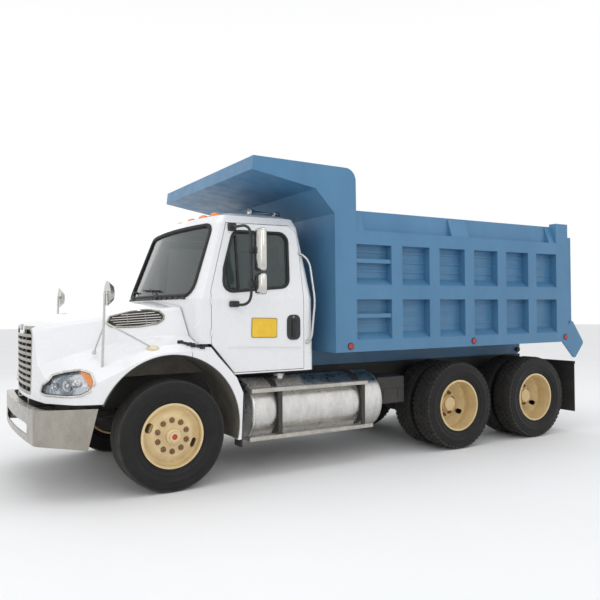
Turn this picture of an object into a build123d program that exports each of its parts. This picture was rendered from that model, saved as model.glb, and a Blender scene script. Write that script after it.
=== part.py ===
from build123d import *
import os
from functools import cache
from math import cos, sin, radians, sqrt

# Sizes in millimetres. X runs forward from the front axle, Y to the vehicle's left, Z up from the ground.
# Overall
front_overhang = 1195
tandem_centre = -4165
tandem_spacing = 1326
rear_overhang = 1585
body_half_width = 1219
overall_length = front_overhang - tandem_centre + rear_overhang
front_axle_x = overall_length / 2 - front_overhang
mid_axle_x = tandem_centre + tandem_spacing / 2
rear_axle_x = tandem_centre - tandem_spacing / 2

# Clearances
running_gap = 0.08
moving_gap = 6
seat_gap = 0.3

# Wheels and tyres
tyre_radius = 510
tyre_half_width = 140
bead_half_width = 106
rim_flange_radius = 298
rim_seat_radius = 288
rim_wall = 10
flange_thickness = 10
front_wheel_y = 1021
outer_wheel_y = 1072
dual_spacing = 335
hub_radius = 92
bolt_circle_radius = 142.5
wheel_bolts = 10
nut_radius = 19
nut_height = 24
disc_thickness = 12
hand_hole_radius = 226
drum_radius = 212
wheel_z = tyre_radius

# Front axle and steering
kingpin_y = 845
kingpin_radius = 22
kingpin_boss_radius = 46
kingpin_boss_height = 120
yoke_thickness = 30
spindle_radius = 40
axle_beam_drop = 60

# Drive axles
axle_tube_radius = 62
axle_spindle_radius = 50
differential_radius = 195
shaft_radius = 45

# Frame
rail_y = 432
rail_width = 80
rail_height = 265
rail_thickness = 9
rail_top = 1000
rail_front = 900
horn_thickness = 20
rail_rear = -5420
crossmember_x = (820, -1500, -2550, -3050, -4600)
tow_plate_thickness = 16
tow_plate_height = 200
tow_spacing_y = 83
tow_spacing_z = 45
tow_hole_radius = 8.5
tow_z = 835

# Front springs, tandem springs
spring_width = 76
spring_y = 392
tandem_spring_y = 500

# Bumper
bumper_top = 806
bumper_height = 366
bumper_bend_y = 900
bumper_bend_setback = 45
bumper_end_x = 650
bumper_end_y = 1092
bumper_wall = 6
bumper_lip = 70
bumper_joint_y = 870
bumper_slot_half = 640
bumper_slot_bottom = 570
bumper_slot_height = 95

# Hood
hood_wall = 12
hood_bottom = 850
hood_pivot_x = 1095
hood_pivot_z = 826
hood_pivot_y = 330
hood_pin_radius = 12
arch_x = 15
arch_z = 585
arch_radius = 670
fender_half_width = 1180
nose_x = 1116
fender_split_x = -180
quarter_foot_z = 415
quarter_angle = 143
door_foot_x = -650

# Cab
cab_wall = 45
cab_bottom = 1030
belt_z = 1765
glass_top_z = 2515
roof_z = 2640
cab_gap = 10
glass_thickness = 6
glass_depth = 10
door_thickness = 60
door_hinge_x = -400
door_hinge_y = 1096
door_hinge_z = (1440, 1740)
door_inner_y = 1020
hinge_radius = 10
hinge_length = 70
hinge_gap = 2
seam_z = 1335

# Tanks and steps
tank_radius = 312
tank_front = -830
tank_length = 1600
tank_y = 800
tank_z = 645
strap_width = 62
strap_thickness = 7
strap_inset = 290
step_half_width_y = 52
step_y = 1100
upper_step_z = 842
lower_step_z = 375
step_thickness = 36

# Dump bed
bed_front = -1740
bed_rear = -5456
bed_bottom = 1200
ledge_z = 1325
floor_z = 1345
mid_rail_bottom = 1756
mid_rail_top = 1913
top_rail_bottom = 2345
top_rail_top = 2493
board_top = 2716
post_depth = 104
sheet_thickness = 8
shield_round = 130
front_post_width = 273
side_post_width = 152
rear_post_width = 232
first_post_x = -2560
post_pitch = 550
side_posts = 5
shedder_rise = 78
rung_height = 44
board_gussets = ((-2015, -2130), (-3400, -3670), (-5110, -5226))
rib_height = 22
rib_depth = 12
bed_hinge_x = -5330
bed_hinge_z = 1065
bed_hinge_radius = 32
bed_sill_y = 420
bed_sill_width = 76
bed_gap = 8
sill_top = bed_bottom + 14

# Tailgate
gate_hinge_x = -5418
gate_hinge_z = 2640
gate_thickness = 80
gate_pin_radius = 24

# Hoist
hoist_y = 200
hoist_foot_x = -4300
hoist_foot_z = 770
hoist_eye_x = -3000
hoist_eye_z = 1050
barrel_radius = 72
rod_radius = 42
hoist_pin_radius = 26

sides = {"left": 1, "right": -1}


def save(shape, node):
    """Writes one node, with X measured from the middle of the vehicle's length."""
    moved = [Pos(front_axle_x, 0, 0) * solid for solid in shape.solids()]
    export_step(moved[0] if len(moved) == 1 else Compound(children=moved), f"parts/{node}.step")


def rebuilt(shape):
    """The shape moved as save moves it, with its faces made anew there, which keeps a trimmed loft sound."""
    return shape.transform_geometry(Matrix([[1, 0, 0, front_axle_x], [0, 1, 0, 0], [0, 0, 1, 0]]))


def fuse(pieces):
    whole = pieces[0]
    for piece in pieces[1:]:
        whole = whole + piece
    return whole


def slab(x, y, z):
    """A block between two X, two Y and two Z values."""
    size = (abs(x[1] - x[0]), abs(y[1] - y[0]), abs(z[1] - z[0]))
    middle = (sum(x) / 2, sum(y) / 2, sum(z) / 2)
    return Pos(*middle) * Box(*size)


def outline(points, radius=0):
    face = make_face(Polyline(*points, close=True))
    if radius:
        face = fillet(face.vertices(), radius)
    return face


def side_plate(points, y, radius=0):
    """An outline in X and Z, between two Y values."""
    low, high = min(y), max(y)
    return extrude(Plane.XZ.offset(-high) * outline(points, radius), high - low)


def front_plate(points, x, radius=0):
    """An outline in Y and Z, between two X values."""
    low, high = min(x), max(x)
    return extrude(Plane.YZ.offset(low) * outline(points, radius), high - low)


def plan_plate(points, z, radius=0):
    """An outline in X and Y, between two Z values."""
    low, high = min(z), max(z)
    return extrude(Plane.XY.offset(low) * outline(points, radius), high - low)


def rod_y(x, z, y, radius):
    """A round bar along Y."""
    middle = (y[0] + y[1]) / 2
    return Pos(x, middle, z) * Rot(90, 0, 0) * Cylinder(radius, abs(y[1] - y[0]))


def rod_x(y, z, x, radius):
    """A round bar along X."""
    middle = (x[0] + x[1]) / 2
    return Pos(middle, y, z) * Rot(0, 90, 0) * Cylinder(radius, abs(x[1] - x[0]))


def bar(start, end, radius):
    """A round bar between two points."""
    path = Vector(*end) - Vector(*start)
    plane = Plane(origin=start, z_dir=path)
    return extrude(plane * Circle(radius), path.length)


def spun(points):
    """Points as (radius, y), turned about the Y axis."""
    return revolve(make_face(Polyline(*points, close=True)), Axis.Y)


def mirrored(shape):
    return mirror(shape, about=Plane.XZ)


def group(*shapes):
    """Several shapes as the separate solids of one node."""
    return Compound(children=[solid for shape in shapes for solid in shape.solids()])


def pair(shape):
    """The shape and its mirror image, as separate solids of one node."""
    return group(shape, mirrored(shape))


# Wheels

def tyre(radius):
    """One tyre about the Y axis, its sidewalls as arcs from bead to shoulder."""
    bead = bead_half_width
    width = tyre_half_width
    shoulder = (radius - 26, width - 16)
    tread = (radius, width - 42)
    half = Polyline((rim_seat_radius + seat_gap, 0), (rim_seat_radius + seat_gap, bead),
                    (rim_flange_radius + 4, bead), (rim_flange_radius + 8, bead + 14))
    wall = ThreePointArc((rim_flange_radius + 8, bead + 14), ((rim_flange_radius + radius) / 2, width), shoulder)
    top = ThreePointArc(shoulder, (radius - 8, width - 25), tread)
    crown = Line(tread, (radius, 0))
    closing = Line((radius, 0), (rim_seat_radius + seat_gap, 0))
    face = make_face(Curve() + [half, wall, top, crown, closing])
    solid = revolve(face, Axis.Y)
    return solid + mirrored(solid)


def rim():
    """A rim's barrel and its two flanges, about the Y axis."""
    edge = bead_half_width + 1
    rear = edge + flange_thickness
    inner = rim_seat_radius - rim_wall
    return spun([(inner, -rear), (rim_flange_radius, -rear), (rim_flange_radius, -edge),
                 (rim_seat_radius, -edge), (rim_seat_radius, edge), (rim_flange_radius, edge),
                 (rim_flange_radius, rear), (inner, rear)])


def wheel_disc(rim_y, face_y, inner_radius):
    """A wheel's dished disc, from the rim to its flat mounting face."""
    barrel = rim_seat_radius - rim_wall / 2
    t = disc_thickness
    return spun([(barrel, rim_y), (barrel, rim_y - t), (barrel - 40, rim_y - t),
                 (185, face_y - t), (inner_radius, face_y - t), (inner_radius, face_y),
                 (190, face_y), (barrel - 34, rim_y)])


def hand_holes(count, angle, y, length, width):
    """Oval holes through a disc, as cutters, their length along the rim."""
    hole = Rot(90, 0, 0) * Rot(0, 0, 90) * extrude(SlotOverall(length, width), 80, both=True)
    return fuse([Rot(0, -(angle + 360 * i / count), 0) * Pos(hand_hole_radius, y, 0) * hole for i in range(count)])


def nuts(y, height):
    """The ring of wheel nuts, standing outwards from a face at y."""
    ring = []
    for i in range(wheel_bolts):
        a = radians(360 * (i + 0.5) / wheel_bolts)
        place = Pos(bolt_circle_radius * cos(a), y, bolt_circle_radius * sin(a)) * Rot(-90, 0, 0)
        ring.append(place * extrude(RegularPolygon(nut_radius, 6), height))
    return fuse(ring)


def front_wheel():
    """A steered wheel: rim, outward dish, nuts, hub with its oil cap, and brake drum."""
    face_y = 92
    cap = [(0, -30), (hub_radius, -30), (hub_radius, face_y + 6), (74, face_y + 12), (66, face_y + 46),
           (50, face_y + 54), (44, face_y + 74), (0, face_y + 76)]
    drum = [(drum_radius, -96), (drum_radius, 52), (hub_radius - 4, 52), (hub_radius - 4, 40),
            (drum_radius - 14, 40), (drum_radius - 14, -96)]
    web = [(60, 40), (120, 40), (120, face_y - disc_thickness), (60, face_y - disc_thickness)]
    wheel = rim() + wheel_disc(60, face_y, 60) - hand_holes(2, 22, 70, 92, 54)
    wheel = wheel + spun(cap) + spun(drum) + spun(web) + nuts(face_y - 1, nut_height)
    bore = [(0, -120), (spindle_radius + running_gap, -120), (spindle_radius + running_gap, 70), (0, 70)]
    return wheel - spun(bore)


def drive_wheels():
    """A pair of drive wheels on one hub, about Y, with y measured from the outer rim's centre."""
    face = -dual_spacing / 2
    outer = wheel_disc(-70, face + disc_thickness + seat_gap, 70) - hand_holes(2, 30, -110, 62, 50)
    inner_rim = Pos(0, -dual_spacing, 0) * rim()
    inner = wheel_disc(-dual_spacing + 82, face, 70) - hand_holes(2, 30, -dual_spacing + 100, 62, 50)
    hub = spun([(0, face - 40), (128, face - 40), (128, face + 14), (hub_radius + 6, face + 14),
                (hub_radius + 2, face + 92), (80, face + 104), (80, face + 128), (0, face + 130)])
    drum = spun([(drum_radius, face - 220), (drum_radius, face - 24), (120, face - 24), (120, face - 38),
                 (drum_radius - 14, face - 38), (drum_radius - 14, face - 220)])
    plate = spun([(70, face - 14), (176, face - 14), (176, face + 14), (70, face + 14)])
    wheels = rim() + outer + inner_rim + inner + hub + drum + plate
    wheels = wheels + nuts(face + disc_thickness, nut_height)
    bore_radius = axle_spindle_radius + running_gap
    bore = spun([(0, face - 400), (bore_radius, face - 400), (bore_radius, face + 20), (0, face + 20)])
    return wheels - bore


def front_wheel_nodes():
    for side, sign in sides.items():
        place = Pos(0, front_wheel_y, wheel_z)
        wheel = place * front_wheel()
        rubber = place * tyre(tyre_radius)
        save(wheel if sign > 0 else mirrored(wheel), f"front_wheel_{side}")
        save(rubber if sign > 0 else mirrored(rubber), f"front_tyre_{side}")


def drive_wheel_nodes():
    wheels = drive_wheels()
    outer = tyre(tyre_radius)
    rubber = group(outer, Pos(0, -dual_spacing, 0) * outer)
    for name, x in (("mid", mid_axle_x), ("rear", rear_axle_x)):
        place = Pos(x, outer_wheel_y, wheel_z)
        for side, sign in sides.items():
            left_wheels = place * wheels
            left_rubber = place * rubber
            save(left_wheels if sign > 0 else mirrored(left_wheels), f"{name}_wheels_{side}")
            save(left_rubber if sign > 0 else mirrored(left_rubber), f"{name}_tyres_{side}")


# Axles, knuckles and springs

def front_axle():
    """A dropped beam with an upright boss for each kingpin."""
    drop = wheel_z - axle_beam_drop
    beam = front_plate([(-kingpin_y, wheel_z - 25), (-kingpin_y, wheel_z + 35), (-700, wheel_z + 25),
                        (-520, drop + 40), (520, drop + 40), (700, wheel_z + 25), (kingpin_y, wheel_z + 35),
                        (kingpin_y, wheel_z - 25), (700, wheel_z - 40), (540, drop - 45), (-540, drop - 45),
                        (-700, wheel_z - 40)], (-45, 45))
    for sign in (1, -1):
        beam = beam + Pos(0, sign * kingpin_y, wheel_z) * Cylinder(kingpin_boss_radius, kingpin_boss_height)
        beam = beam - Pos(0, sign * kingpin_y, wheel_z) * Cylinder(kingpin_radius + running_gap,
                                                                  kingpin_boss_height + 2)
    return beam


def knuckle():
    """The left knuckle: yoke, kingpin, spindle, brake plate and steering arm."""
    half = kingpin_boss_height / 2 + 2
    top = half + yoke_thickness
    back = kingpin_y + kingpin_boss_radius + moving_gap
    pin = Pos(0, kingpin_y, wheel_z) * Cylinder(kingpin_radius, 2 * top)
    arms = []
    for low, high in ((half, top), (-top, -half)):
        arms.append(slab((-44, 44), (kingpin_y - 36, back + 10), (wheel_z + low, wheel_z + high)))
    plate = slab((-62, 62), (back, back + 24), (wheel_z - top, wheel_z + top))
    spindle = rod_y(0, wheel_z, (back + 10, front_wheel_y + 64), spindle_radius)
    shield = rod_y(0, wheel_z, (back + 12, back + 22), drum_radius - 24)
    lever = side_plate([(-30, wheel_z - top), (-250, wheel_z - top), (-250, wheel_z - top + 26),
                        (-30, wheel_z - top + 26)], (kingpin_y - 30, kingpin_y + 20))
    return fuse([pin] + arms + [plate, spindle, shield, lever])


def drive_axle(x):
    """A banjo housing, its tubes and the spindles that the hubs turn on."""
    reach = outer_wheel_y - dual_spacing / 2
    tube = rod_y(x, wheel_z, (-(reach - 180), reach - 180), axle_tube_radius)
    spindle = rod_y(x, wheel_z, (-(reach + 10), reach + 10), axle_spindle_radius)
    bowl = Pos(x, 0, wheel_z) * Sphere(differential_radius)
    nose = rod_x(0, wheel_z + 30, (x - 120, x + 290), 92)
    return tube + spindle + bowl + nose


def shaft_between(start, end):
    yoke = shaft_radius + 16
    way = (Vector(*end) - Vector(*start)).normalized()
    near = tuple(Vector(*start) + way * 2 * yoke)
    far = tuple(Vector(*end) - way * 2 * yoke)
    return bar(start, end, shaft_radius) + bar(start, near, yoke) + bar(far, end, yoke)


def drive_axles():
    """Both drive axles and the shafts that turn them, as one line of solids."""
    nose = 290
    front_end = (mid_axle_x + nose, 0, wheel_z + 30)
    gearbox_end = (-1170, 0, 690)
    between = ((rear_axle_x + nose, 0, wheel_z + 30), (mid_axle_x - 120, 0, wheel_z + 30))
    pieces = [drive_axle(mid_axle_x), drive_axle(rear_axle_x), shaft_between(gearbox_end, front_end),
              shaft_between(*between)]
    return fuse(pieces)


def leaf_pack(x_ends, z_eye, z_middle, thickness, y):
    """A spring pack in side view: an arc from eye to eye, thicker in the middle."""
    half = (x_ends[1] - x_ends[0]) / 2
    middle = sum(x_ends) / 2
    upper = ThreePointArc((-half, z_eye + 10), (0, z_middle + 10), (half, z_eye + 10))
    lower = ThreePointArc((half, z_eye - 12), (0, z_middle + 10 - thickness), (-half, z_eye - 12))
    ends = [Line((half, z_eye + 10), (half, z_eye - 12)), Line((-half, z_eye - 12), (-half, z_eye + 10))]
    face = make_face(Curve() + [upper, lower] + ends)
    half_width = spring_width / 2
    pack = extrude(Plane.XZ.offset(-(y + half_width)) * face, spring_width)
    return Pos(middle, 0, 0) * pack


def springs():
    """Front leaf springs with their hangers, and the tandem springs over the drive axles."""
    seat = wheel_z - axle_beam_drop + 40
    front = leaf_pack((-640, 640), 690, seat + 50, 50, spring_y)
    saddle = slab((-80, 80), (spring_y - 50, spring_y + 50), (seat, seat + 30))
    hangers = []
    for x in (-640, 640):
        hangers.append(slab((x - 30, x + 30), (spring_y - 38, spring_y + 38), (680, rail_top - rail_height)))
    front_set = fuse([front, saddle] + hangers)
    axle_top = wheel_z + axle_tube_radius
    reach = tandem_spacing / 2 + 60
    tandem = leaf_pack((tandem_centre - reach, tandem_centre + reach), axle_top + 38, 690, 90, tandem_spring_y)
    pads = []
    for x in (mid_axle_x, rear_axle_x):
        pads.append(slab((x - 70, x + 70), (tandem_spring_y - 40, tandem_spring_y + 40),
                         (axle_top - 12, axle_top + 50)))
    trunnion = slab((tandem_centre - 130, tandem_centre + 130),
                    (rail_y, tandem_spring_y + spring_width / 2), (640, 900))
    tandem_set = fuse([tandem, trunnion] + pads)
    for x in (mid_axle_x, rear_axle_x):
        tandem_set = tandem_set - rod_y(x, wheel_z, (0, 700), axle_tube_radius)
    return group(pair(front_set), pair(tandem_set))


# Frame

def frame():
    """Two channel rails, their crossmembers, and the brackets of the bumper, hood, hoist and bed hinges."""
    low = rail_top - rail_height
    rail = slab((rail_rear, rail_front), (rail_y - rail_width, rail_y), (low, rail_top))
    hollow = slab((rail_rear - 10, rail_front + 10), (rail_y - rail_width - 10, rail_y - rail_thickness),
                  (low + rail_thickness, rail_top - rail_thickness))
    rail = rail - hollow
    pieces = [rail, mirrored(rail)]
    inner = rail_y - rail_thickness
    for x in crossmember_x:
        pieces.append(slab((x - 40, x + 40), (-inner, inner), (low + rail_thickness, low + 110)))
    for sign in (1, -1):
        y = sign * hood_pivot_y
        bracket = side_plate([(rail_front - 40, low + 10), (hood_pivot_x + 14, low + 40),
                              (hood_pivot_x + 14, hood_pivot_z + 16), (hood_pivot_x - 22, hood_pivot_z + 16),
                              (rail_front - 40, rail_top - 40)], (y - 14, y + 14))
        joint_bar = slab((rail_front - 40, rail_front), (sign * (inner + 4), y - sign * 14), (low, low + 60))
        pivot = rod_y(hood_pivot_x, hood_pivot_z, (y - 46, y + 14), hood_pin_radius)
        if sign < 0:
            pivot = rod_y(hood_pivot_x, hood_pivot_z, (y - 14, y + 46), hood_pin_radius)
        pieces += [bracket, joint_bar, pivot]
        lug = side_plate([(bed_hinge_x - 90, rail_top), (bed_hinge_x + 90, rail_top),
                          (bed_hinge_x + 45, bed_hinge_z + 45), (bed_hinge_x - 45, bed_hinge_z + 45)],
                         (sign * (rail_y - 60), sign * (rail_y - 84)))
        pieces.append(lug)
        horn_y = rail_y - rail_width + horn_thickness
        wall = front_overhang - bumper_bend_setback * (horn_y / bumper_bend_y) ** 2 - bumper_wall
        pieces.append(slab((rail_front - 40, wall - seat_gap), (sign * (rail_y - rail_width), sign * horn_y),
                           (low - 30, bumper_top - 40)))
    cross_pin = rod_y(bed_hinge_x, bed_hinge_z, (-(bed_sill_y + 70), bed_sill_y + 70), bed_hinge_radius)
    beam = slab((hoist_foot_x - 150, hoist_foot_x - 70), (-inner, inner), (low + rail_thickness, low + 110))
    pieces += [cross_pin, beam]
    for sign in (1, -1):
        for edge in (-1, 1):
            y = sign * hoist_y + edge * (barrel_radius - 10)
            ear = side_plate([(hoist_foot_x - 80, low + rail_thickness), (hoist_foot_x + 34, hoist_foot_z - 34),
                              (hoist_foot_x + 34, hoist_foot_z + 34), (hoist_foot_x - 80, low + 110)],
                             (y - 8, y + 8))
            pieces.append(ear)
        pin_ends = (sign * hoist_y - barrel_radius, sign * hoist_y + barrel_radius)
        pieces.append(rod_y(hoist_foot_x, hoist_foot_z, pin_ends, hoist_pin_radius))
    tow_plate = slab((rail_rear, rail_rear + tow_plate_thickness), (-inner, inner),
                     (low + rail_thickness, low + tow_plate_height))
    for y in (-tow_spacing_y / 2, tow_spacing_y / 2):
        for z in (tow_z - tow_spacing_z / 2, tow_z + tow_spacing_z / 2):
            tow_plate = tow_plate - rod_x(y, z, (rail_rear - 10, rail_rear + 40), tow_hole_radius)
    pieces.append(tow_plate)
    return fuse(pieces)


def engine():
    """The engine and gearbox as one plain mass, and the radiator ahead of it."""
    block = slab((-90, 640), (-330, 330), (690, 1330))
    gearbox = slab((-1100, -90), (-230, 230), (640, 960))
    cooler = slab((740, 850), (-400, 400), (rail_top + 5, 1420))
    return group(block + gearbox, cooler)


# Bumper

def bumper_band(inset, z):
    """The bumper's swept plan, drawn inwards by an inset."""
    front = front_overhang - inset
    bend = (front_overhang - bumper_bend_setback - inset, bumper_bend_y - inset * 0.7)
    end = (bumper_end_x, bumper_end_y - inset)
    curve = ThreePointArc((bend[0], -bend[1]), (front, 0), bend)
    lines = [Line(bend, end), Line(end, (bumper_end_x, -end[1])), Line((end[0], -end[1]), (bend[0], -bend[1]))]
    face = make_face(Curve() + [curve] + lines)
    face = fillet(face.vertices().sort_by(Axis.X)[-2:], 90)
    return extrude(Plane.XY.offset(z[0]) * face, z[1] - z[0])


def front_bumper():
    low = bumper_top - bumper_height
    shell = bumper_band(0, (low, bumper_top)) - bumper_band(bumper_wall, (low - 5, bumper_top - bumper_wall))
    shell = shell - bumper_band(bumper_lip, (low - 5, bumper_top + 5))
    shell = shell - slab((bumper_end_x - 20, bumper_end_x + bumper_wall), (-bumper_end_y + 80, bumper_end_y - 80),
                         (low - 5, bumper_top + 5))
    under = side_plate([(front_overhang + 10, bumper_top - 298), (bumper_end_x + 80, low + 6),
                        (bumper_end_x + 80, low - 20), (front_overhang + 10, low - 20)], (-1300, 1300))
    rake = side_plate([(bumper_end_x - 10, bumper_top + 10), (bumper_end_x + 4, bumper_top + 10),
                       (bumper_end_x + 92, low - 10), (bumper_end_x - 10, low - 10)], (-1300, 1300))
    slot = slab((front_overhang - 200, front_overhang + 10), (-bumper_slot_half, bumper_slot_half),
                (bumper_slot_bottom, bumper_slot_bottom + bumper_slot_height))
    slot = fillet(slot.edges().filter_by(Axis.X), 30)
    shell = shell - under - rake - slot
    for sign in (1, -1):
        joint = sign * bumper_joint_y
        shell = shell - slab((bumper_end_x - 20, front_overhang + 10), (joint - seat_gap / 2, joint + seat_gap / 2),
                             (low - 5, bumper_top + 5))
    return shell


# Cab

# Plan sections of the cab: height, half width, front at the middle, front at the side, rear
cab_sections = (
    (cab_bottom, 1086, -140, -262, -1560),
    (belt_z, 1096, -135, -262, -1545),
    (glass_top_z, 958, -405, -530, -1452),
    (roof_z - 40, 905, -470, -600, -1428),
    (roof_z, 790, -600, -700, -1340),
)


def cab_section(row, inset):
    z, half, nose, corner, rear = row
    half = half - inset
    nose = nose - inset
    corner = corner - inset
    rear = rear + inset
    curve = ThreePointArc((corner, -half), (nose, 0), (corner, half))
    lines = [Line((corner, half), (rear, half)), Line((rear, half), (rear, -half)),
             Line((rear, -half), (corner, -half))]
    face = make_face(Curve() + [curve] + lines)
    face = fillet(face.vertices(), 70)
    return Plane.XY.offset(z) * face


@cache
def cab_form(inset):
    """The cab's outer form, drawn inwards by an inset, with a flat floor and a stepped crown."""
    rows = [cab_section(row, inset) for row in cab_sections]
    if inset:
        low, top = cab_sections[0], cab_sections[-1]
        rows[0] = cab_section((low[0] + inset,) + low[1:], inset)
        rows[-1] = cab_section((top[0] - inset,) + top[1:], inset)
        step = cab_sections[-2]
        rows[-2] = cab_section((step[0] - inset * 0.8,) + step[1:], inset)
    return loft(rows, ruled=True)


def wheel_house(grow):
    """What the front wheels take from the cab's lower front corner."""
    g = grow
    return side_plate([(0, seam_z + g), (door_hinge_x - g * 0.4, seam_z + g), (door_foot_x - g, cab_bottom + g * 0.2),
                       (door_foot_x - g, cab_bottom - 200), (0, cab_bottom - 200)], (-1400, 1400))


def door_outline(grow):
    """The door's seam in side view."""
    g = grow
    return [(door_hinge_x + g, seam_z - 4), (door_hinge_x + g, 1840), (-618 + g, 2522 + g), (-1330, 2530 + g),
            (-1428 - g, 2440), (-1432 - g, cab_bottom + 14 - g), (-640 + g * 0.6, cab_bottom + 14 - g)]


def door_window():
    return [(-560, 2060), (-532, 1826), (-1262, 1884), (-1305, 2442), (-690, 2436)]


def windshield_outline(shrink):
    s = shrink
    return [(-990 + s, belt_z + 30 + s), (990 - s, belt_z + 30 + s), (895 - s, glass_top_z - 12 - s),
            (-895 + s, glass_top_z - 12 - s)]


def rear_window_outline(shrink):
    s = shrink
    return [(-560 + s, 1900 + s), (560 - s, 1900 + s), (540 - s, 2360 - s), (-540 + s, 2360 - s)]


def hinge_knuckles(grow):
    """The barrels of the left door's two hinges, on the line that the door turns about."""
    barrels = []
    for z in door_hinge_z:
        barrels.append(Pos(door_hinge_x, door_hinge_y, z) * Cylinder(hinge_radius + grow, hinge_length + 2 * grow))
    return fuse(barrels)


def cab_walls():
    """The hollow cab with its door openings and windows cut."""
    walls = (cab_form(0) - wheel_house(0)) - (cab_form(cab_wall) - wheel_house(cab_wall))
    walls = walls - hinge_knuckles(hinge_gap) - mirrored(hinge_knuckles(hinge_gap))
    for sign in (1, -1):
        walls = walls - side_plate(door_outline(0), (sign * 840, sign * 1300))
    walls = walls - front_plate(windshield_outline(0), (-700, 0), 110)
    walls = walls - front_plate(rear_window_outline(0), (-1700, -1380), 60)
    return walls


def roof_cutter():
    return slab((-1800, 200), (-1300, 1300), (glass_top_z + 20, roof_z + 100))


def cab_glass():
    """The windshield and the rear window, each a sheet just under the skin."""
    sheet = cab_form(glass_depth) - cab_form(glass_depth + glass_thickness)
    front = sheet & front_plate(windshield_outline(seat_gap), (-700, 0), 110)
    rear = sheet & front_plate(rear_window_outline(seat_gap), (-1700, -1380), 60)
    return group(front, rear)


def door():
    """The left door, as thick as the real one, with its window cut and a handle's recess."""
    skin = (cab_form(0) - wheel_house(0)) - cab_form(door_thickness)
    panel = skin & side_plate(door_outline(-moving_gap), (840, 1300))
    panel = panel - slab((-1600, door_hinge_x + 100), (800, door_inner_y), (cab_bottom - 20, belt_z - 100))
    panel = panel - side_plate(door_window(), (700, 1300), 90)
    recess = side_plate([(-1230, 1350), (-1380, 1350), (-1380, 1596), (-1230, 1596)], (1070, 1200), 50)
    return panel - recess + hinge_knuckles(0)


def door_glass():
    sheet = cab_form(glass_depth + 8) - cab_form(glass_depth + 8 + glass_thickness)
    return sheet & side_plate(door_window(), (700, 1300), 90)


def mirror_arm():
    """The left door's mirrors: a bent tube and two heads on it."""
    x, y = -725, 1300
    tube = bar((-679, 950, 2476), (-690, y - 40, 2462), 14) + bar((-690, y - 40, 2462), (x, y, 2410), 14)
    tube = tube + bar((x, y, 2410), (x, y, 1760), 14) + bar((x, y, 1760), (-690, y - 50, 1700), 14)
    tube = tube + bar((-690, y - 50, 1700), (-641, 1080, 1707), 14)
    for point in ((-690, y - 40, 2462), (x, y, 2410), (x, y, 1760), (-690, y - 50, 1700)):
        tube = tube + Pos(*point) * Sphere(14)
    # Head: low z, high z
    for low, high in ((2018, 2426), (1796, 2000)):
        head = slab((x - 90, x - 45), (y, y + 178), (low, high))
        head = fillet(head.edges().filter_by(Axis.X), 40)
        clamp = slab((x - 50, x + 18), (y - 20, y + 20), ((low + high) / 2 - 30, (low + high) / 2 + 30))
        tube = tube + head + clamp
    return tube - cab_form(0)


def dashboard():
    """The dash across the cab, with the column and the wheel."""
    dash = front_plate([(-1000, 1480), (1000, 1480), (1000, 1740), (-1000, 1740)], (-560, -380), 40)
    dash = dash & cab_form(cab_wall + 8)
    rim_plane = Plane(origin=(-790, 520, 1690), z_dir=(-0.55, 0, 0.83))
    wheel = rim_plane * Torus(215, 15)
    hub = rim_plane * Cylinder(45, 50)
    spoke = rim_plane * Box(60, 430, 14)
    column = bar((-500, 520, 1640), (-790, 520, 1690), 30)
    return dash + column + wheel + hub + spoke


def seats():
    """Two seats, each a base, a cushion and a leaning back."""
    floor = cab_bottom + cab_wall
    places = []
    for sign in (1, -1):
        y = (sign * 520 - 250, sign * 520 + 250)
        base = slab((-1250, -900), (sign * 520 - 180, sign * 520 + 180), (floor, 1430))
        cushion = side_plate([(-1290, 1400), (-830, 1420), (-810, 1500), (-840, 1540), (-1290, 1520)], y, 20)
        back = side_plate([(-1290, 1500), (-1200, 1520), (-1290, 2150), (-1370, 2150), (-1400, 2100),
                           (-1340, 1480)], y, 20)
        places.append(base + cushion + back)
    return group(*places)


def roof_lamps():
    """Five marker lamps along the front of the roof."""
    lamps = []
    for y in (-640, -330, 0, 330, 640):
        drop = 14 * (y / 640) ** 2
        lamp = Pos(-650, y, roof_z - 6 - drop) * scale(Sphere(1), (60, 40, 40))
        lamps.append(lamp - cab_form(0))
    return group(*[lamp.solids().sort_by(SortBy.VOLUME)[-1] for lamp in lamps])


# Hood

# Hood sections: x, outer half width, its height, fender half width, its height, valley half width, its height,
# shoulder half width, its height, height at the middle
hood_sections = (
    (-400, 1180, 1262, 1110, 1345, 965, 1420, 830, 1700, 1765),
    (15, 1180, 1272, 1095, 1340, 915, 1420, 785, 1668, 1740),
    (400, 1176, 1165, 1070, 1245, 820, 1370, 705, 1610, 1690),
    (700, 1140, 1030, 1010, 1130, 745, 1290, 625, 1560, 1640),
    (1000, 1010, 960, 880, 1045, 640, 1200, 520, 1505, 1577),
    (1140, 880, 930, 700, 1000, 570, 1120, 465, 1468, 1530),
)
shoulder_round = 60


def hood_plan(inset, z):
    """The hood seen from above: straight sides, round front corners, a bowed nose."""
    w = fender_half_width - inset
    nose = nose_x - inset
    right = [(-420, w), (480, w), (860, 1060 - inset), (1040 - inset, 800 - inset)]
    corner = [Line(right[0], right[1]), ThreePointArc(right[1], (690, 1140 - inset), right[2]),
              Line(right[2], right[3])]
    front = ThreePointArc(right[3], (nose, 0), (right[3][0], -right[3][1]))
    other = [Line((right[3][0], -right[3][1]), (right[2][0], -right[2][1])),
             ThreePointArc((right[2][0], -right[2][1]), (690, -1140 + inset), (480, -w)),
             Line((480, -w), (-420, -w)), Line((-420, -w), (-420, w))]
    face = make_face(Curve() + corner + [front] + other)
    return extrude(Plane.XY.offset(z[0]) * face, z[1] - z[0])


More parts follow.
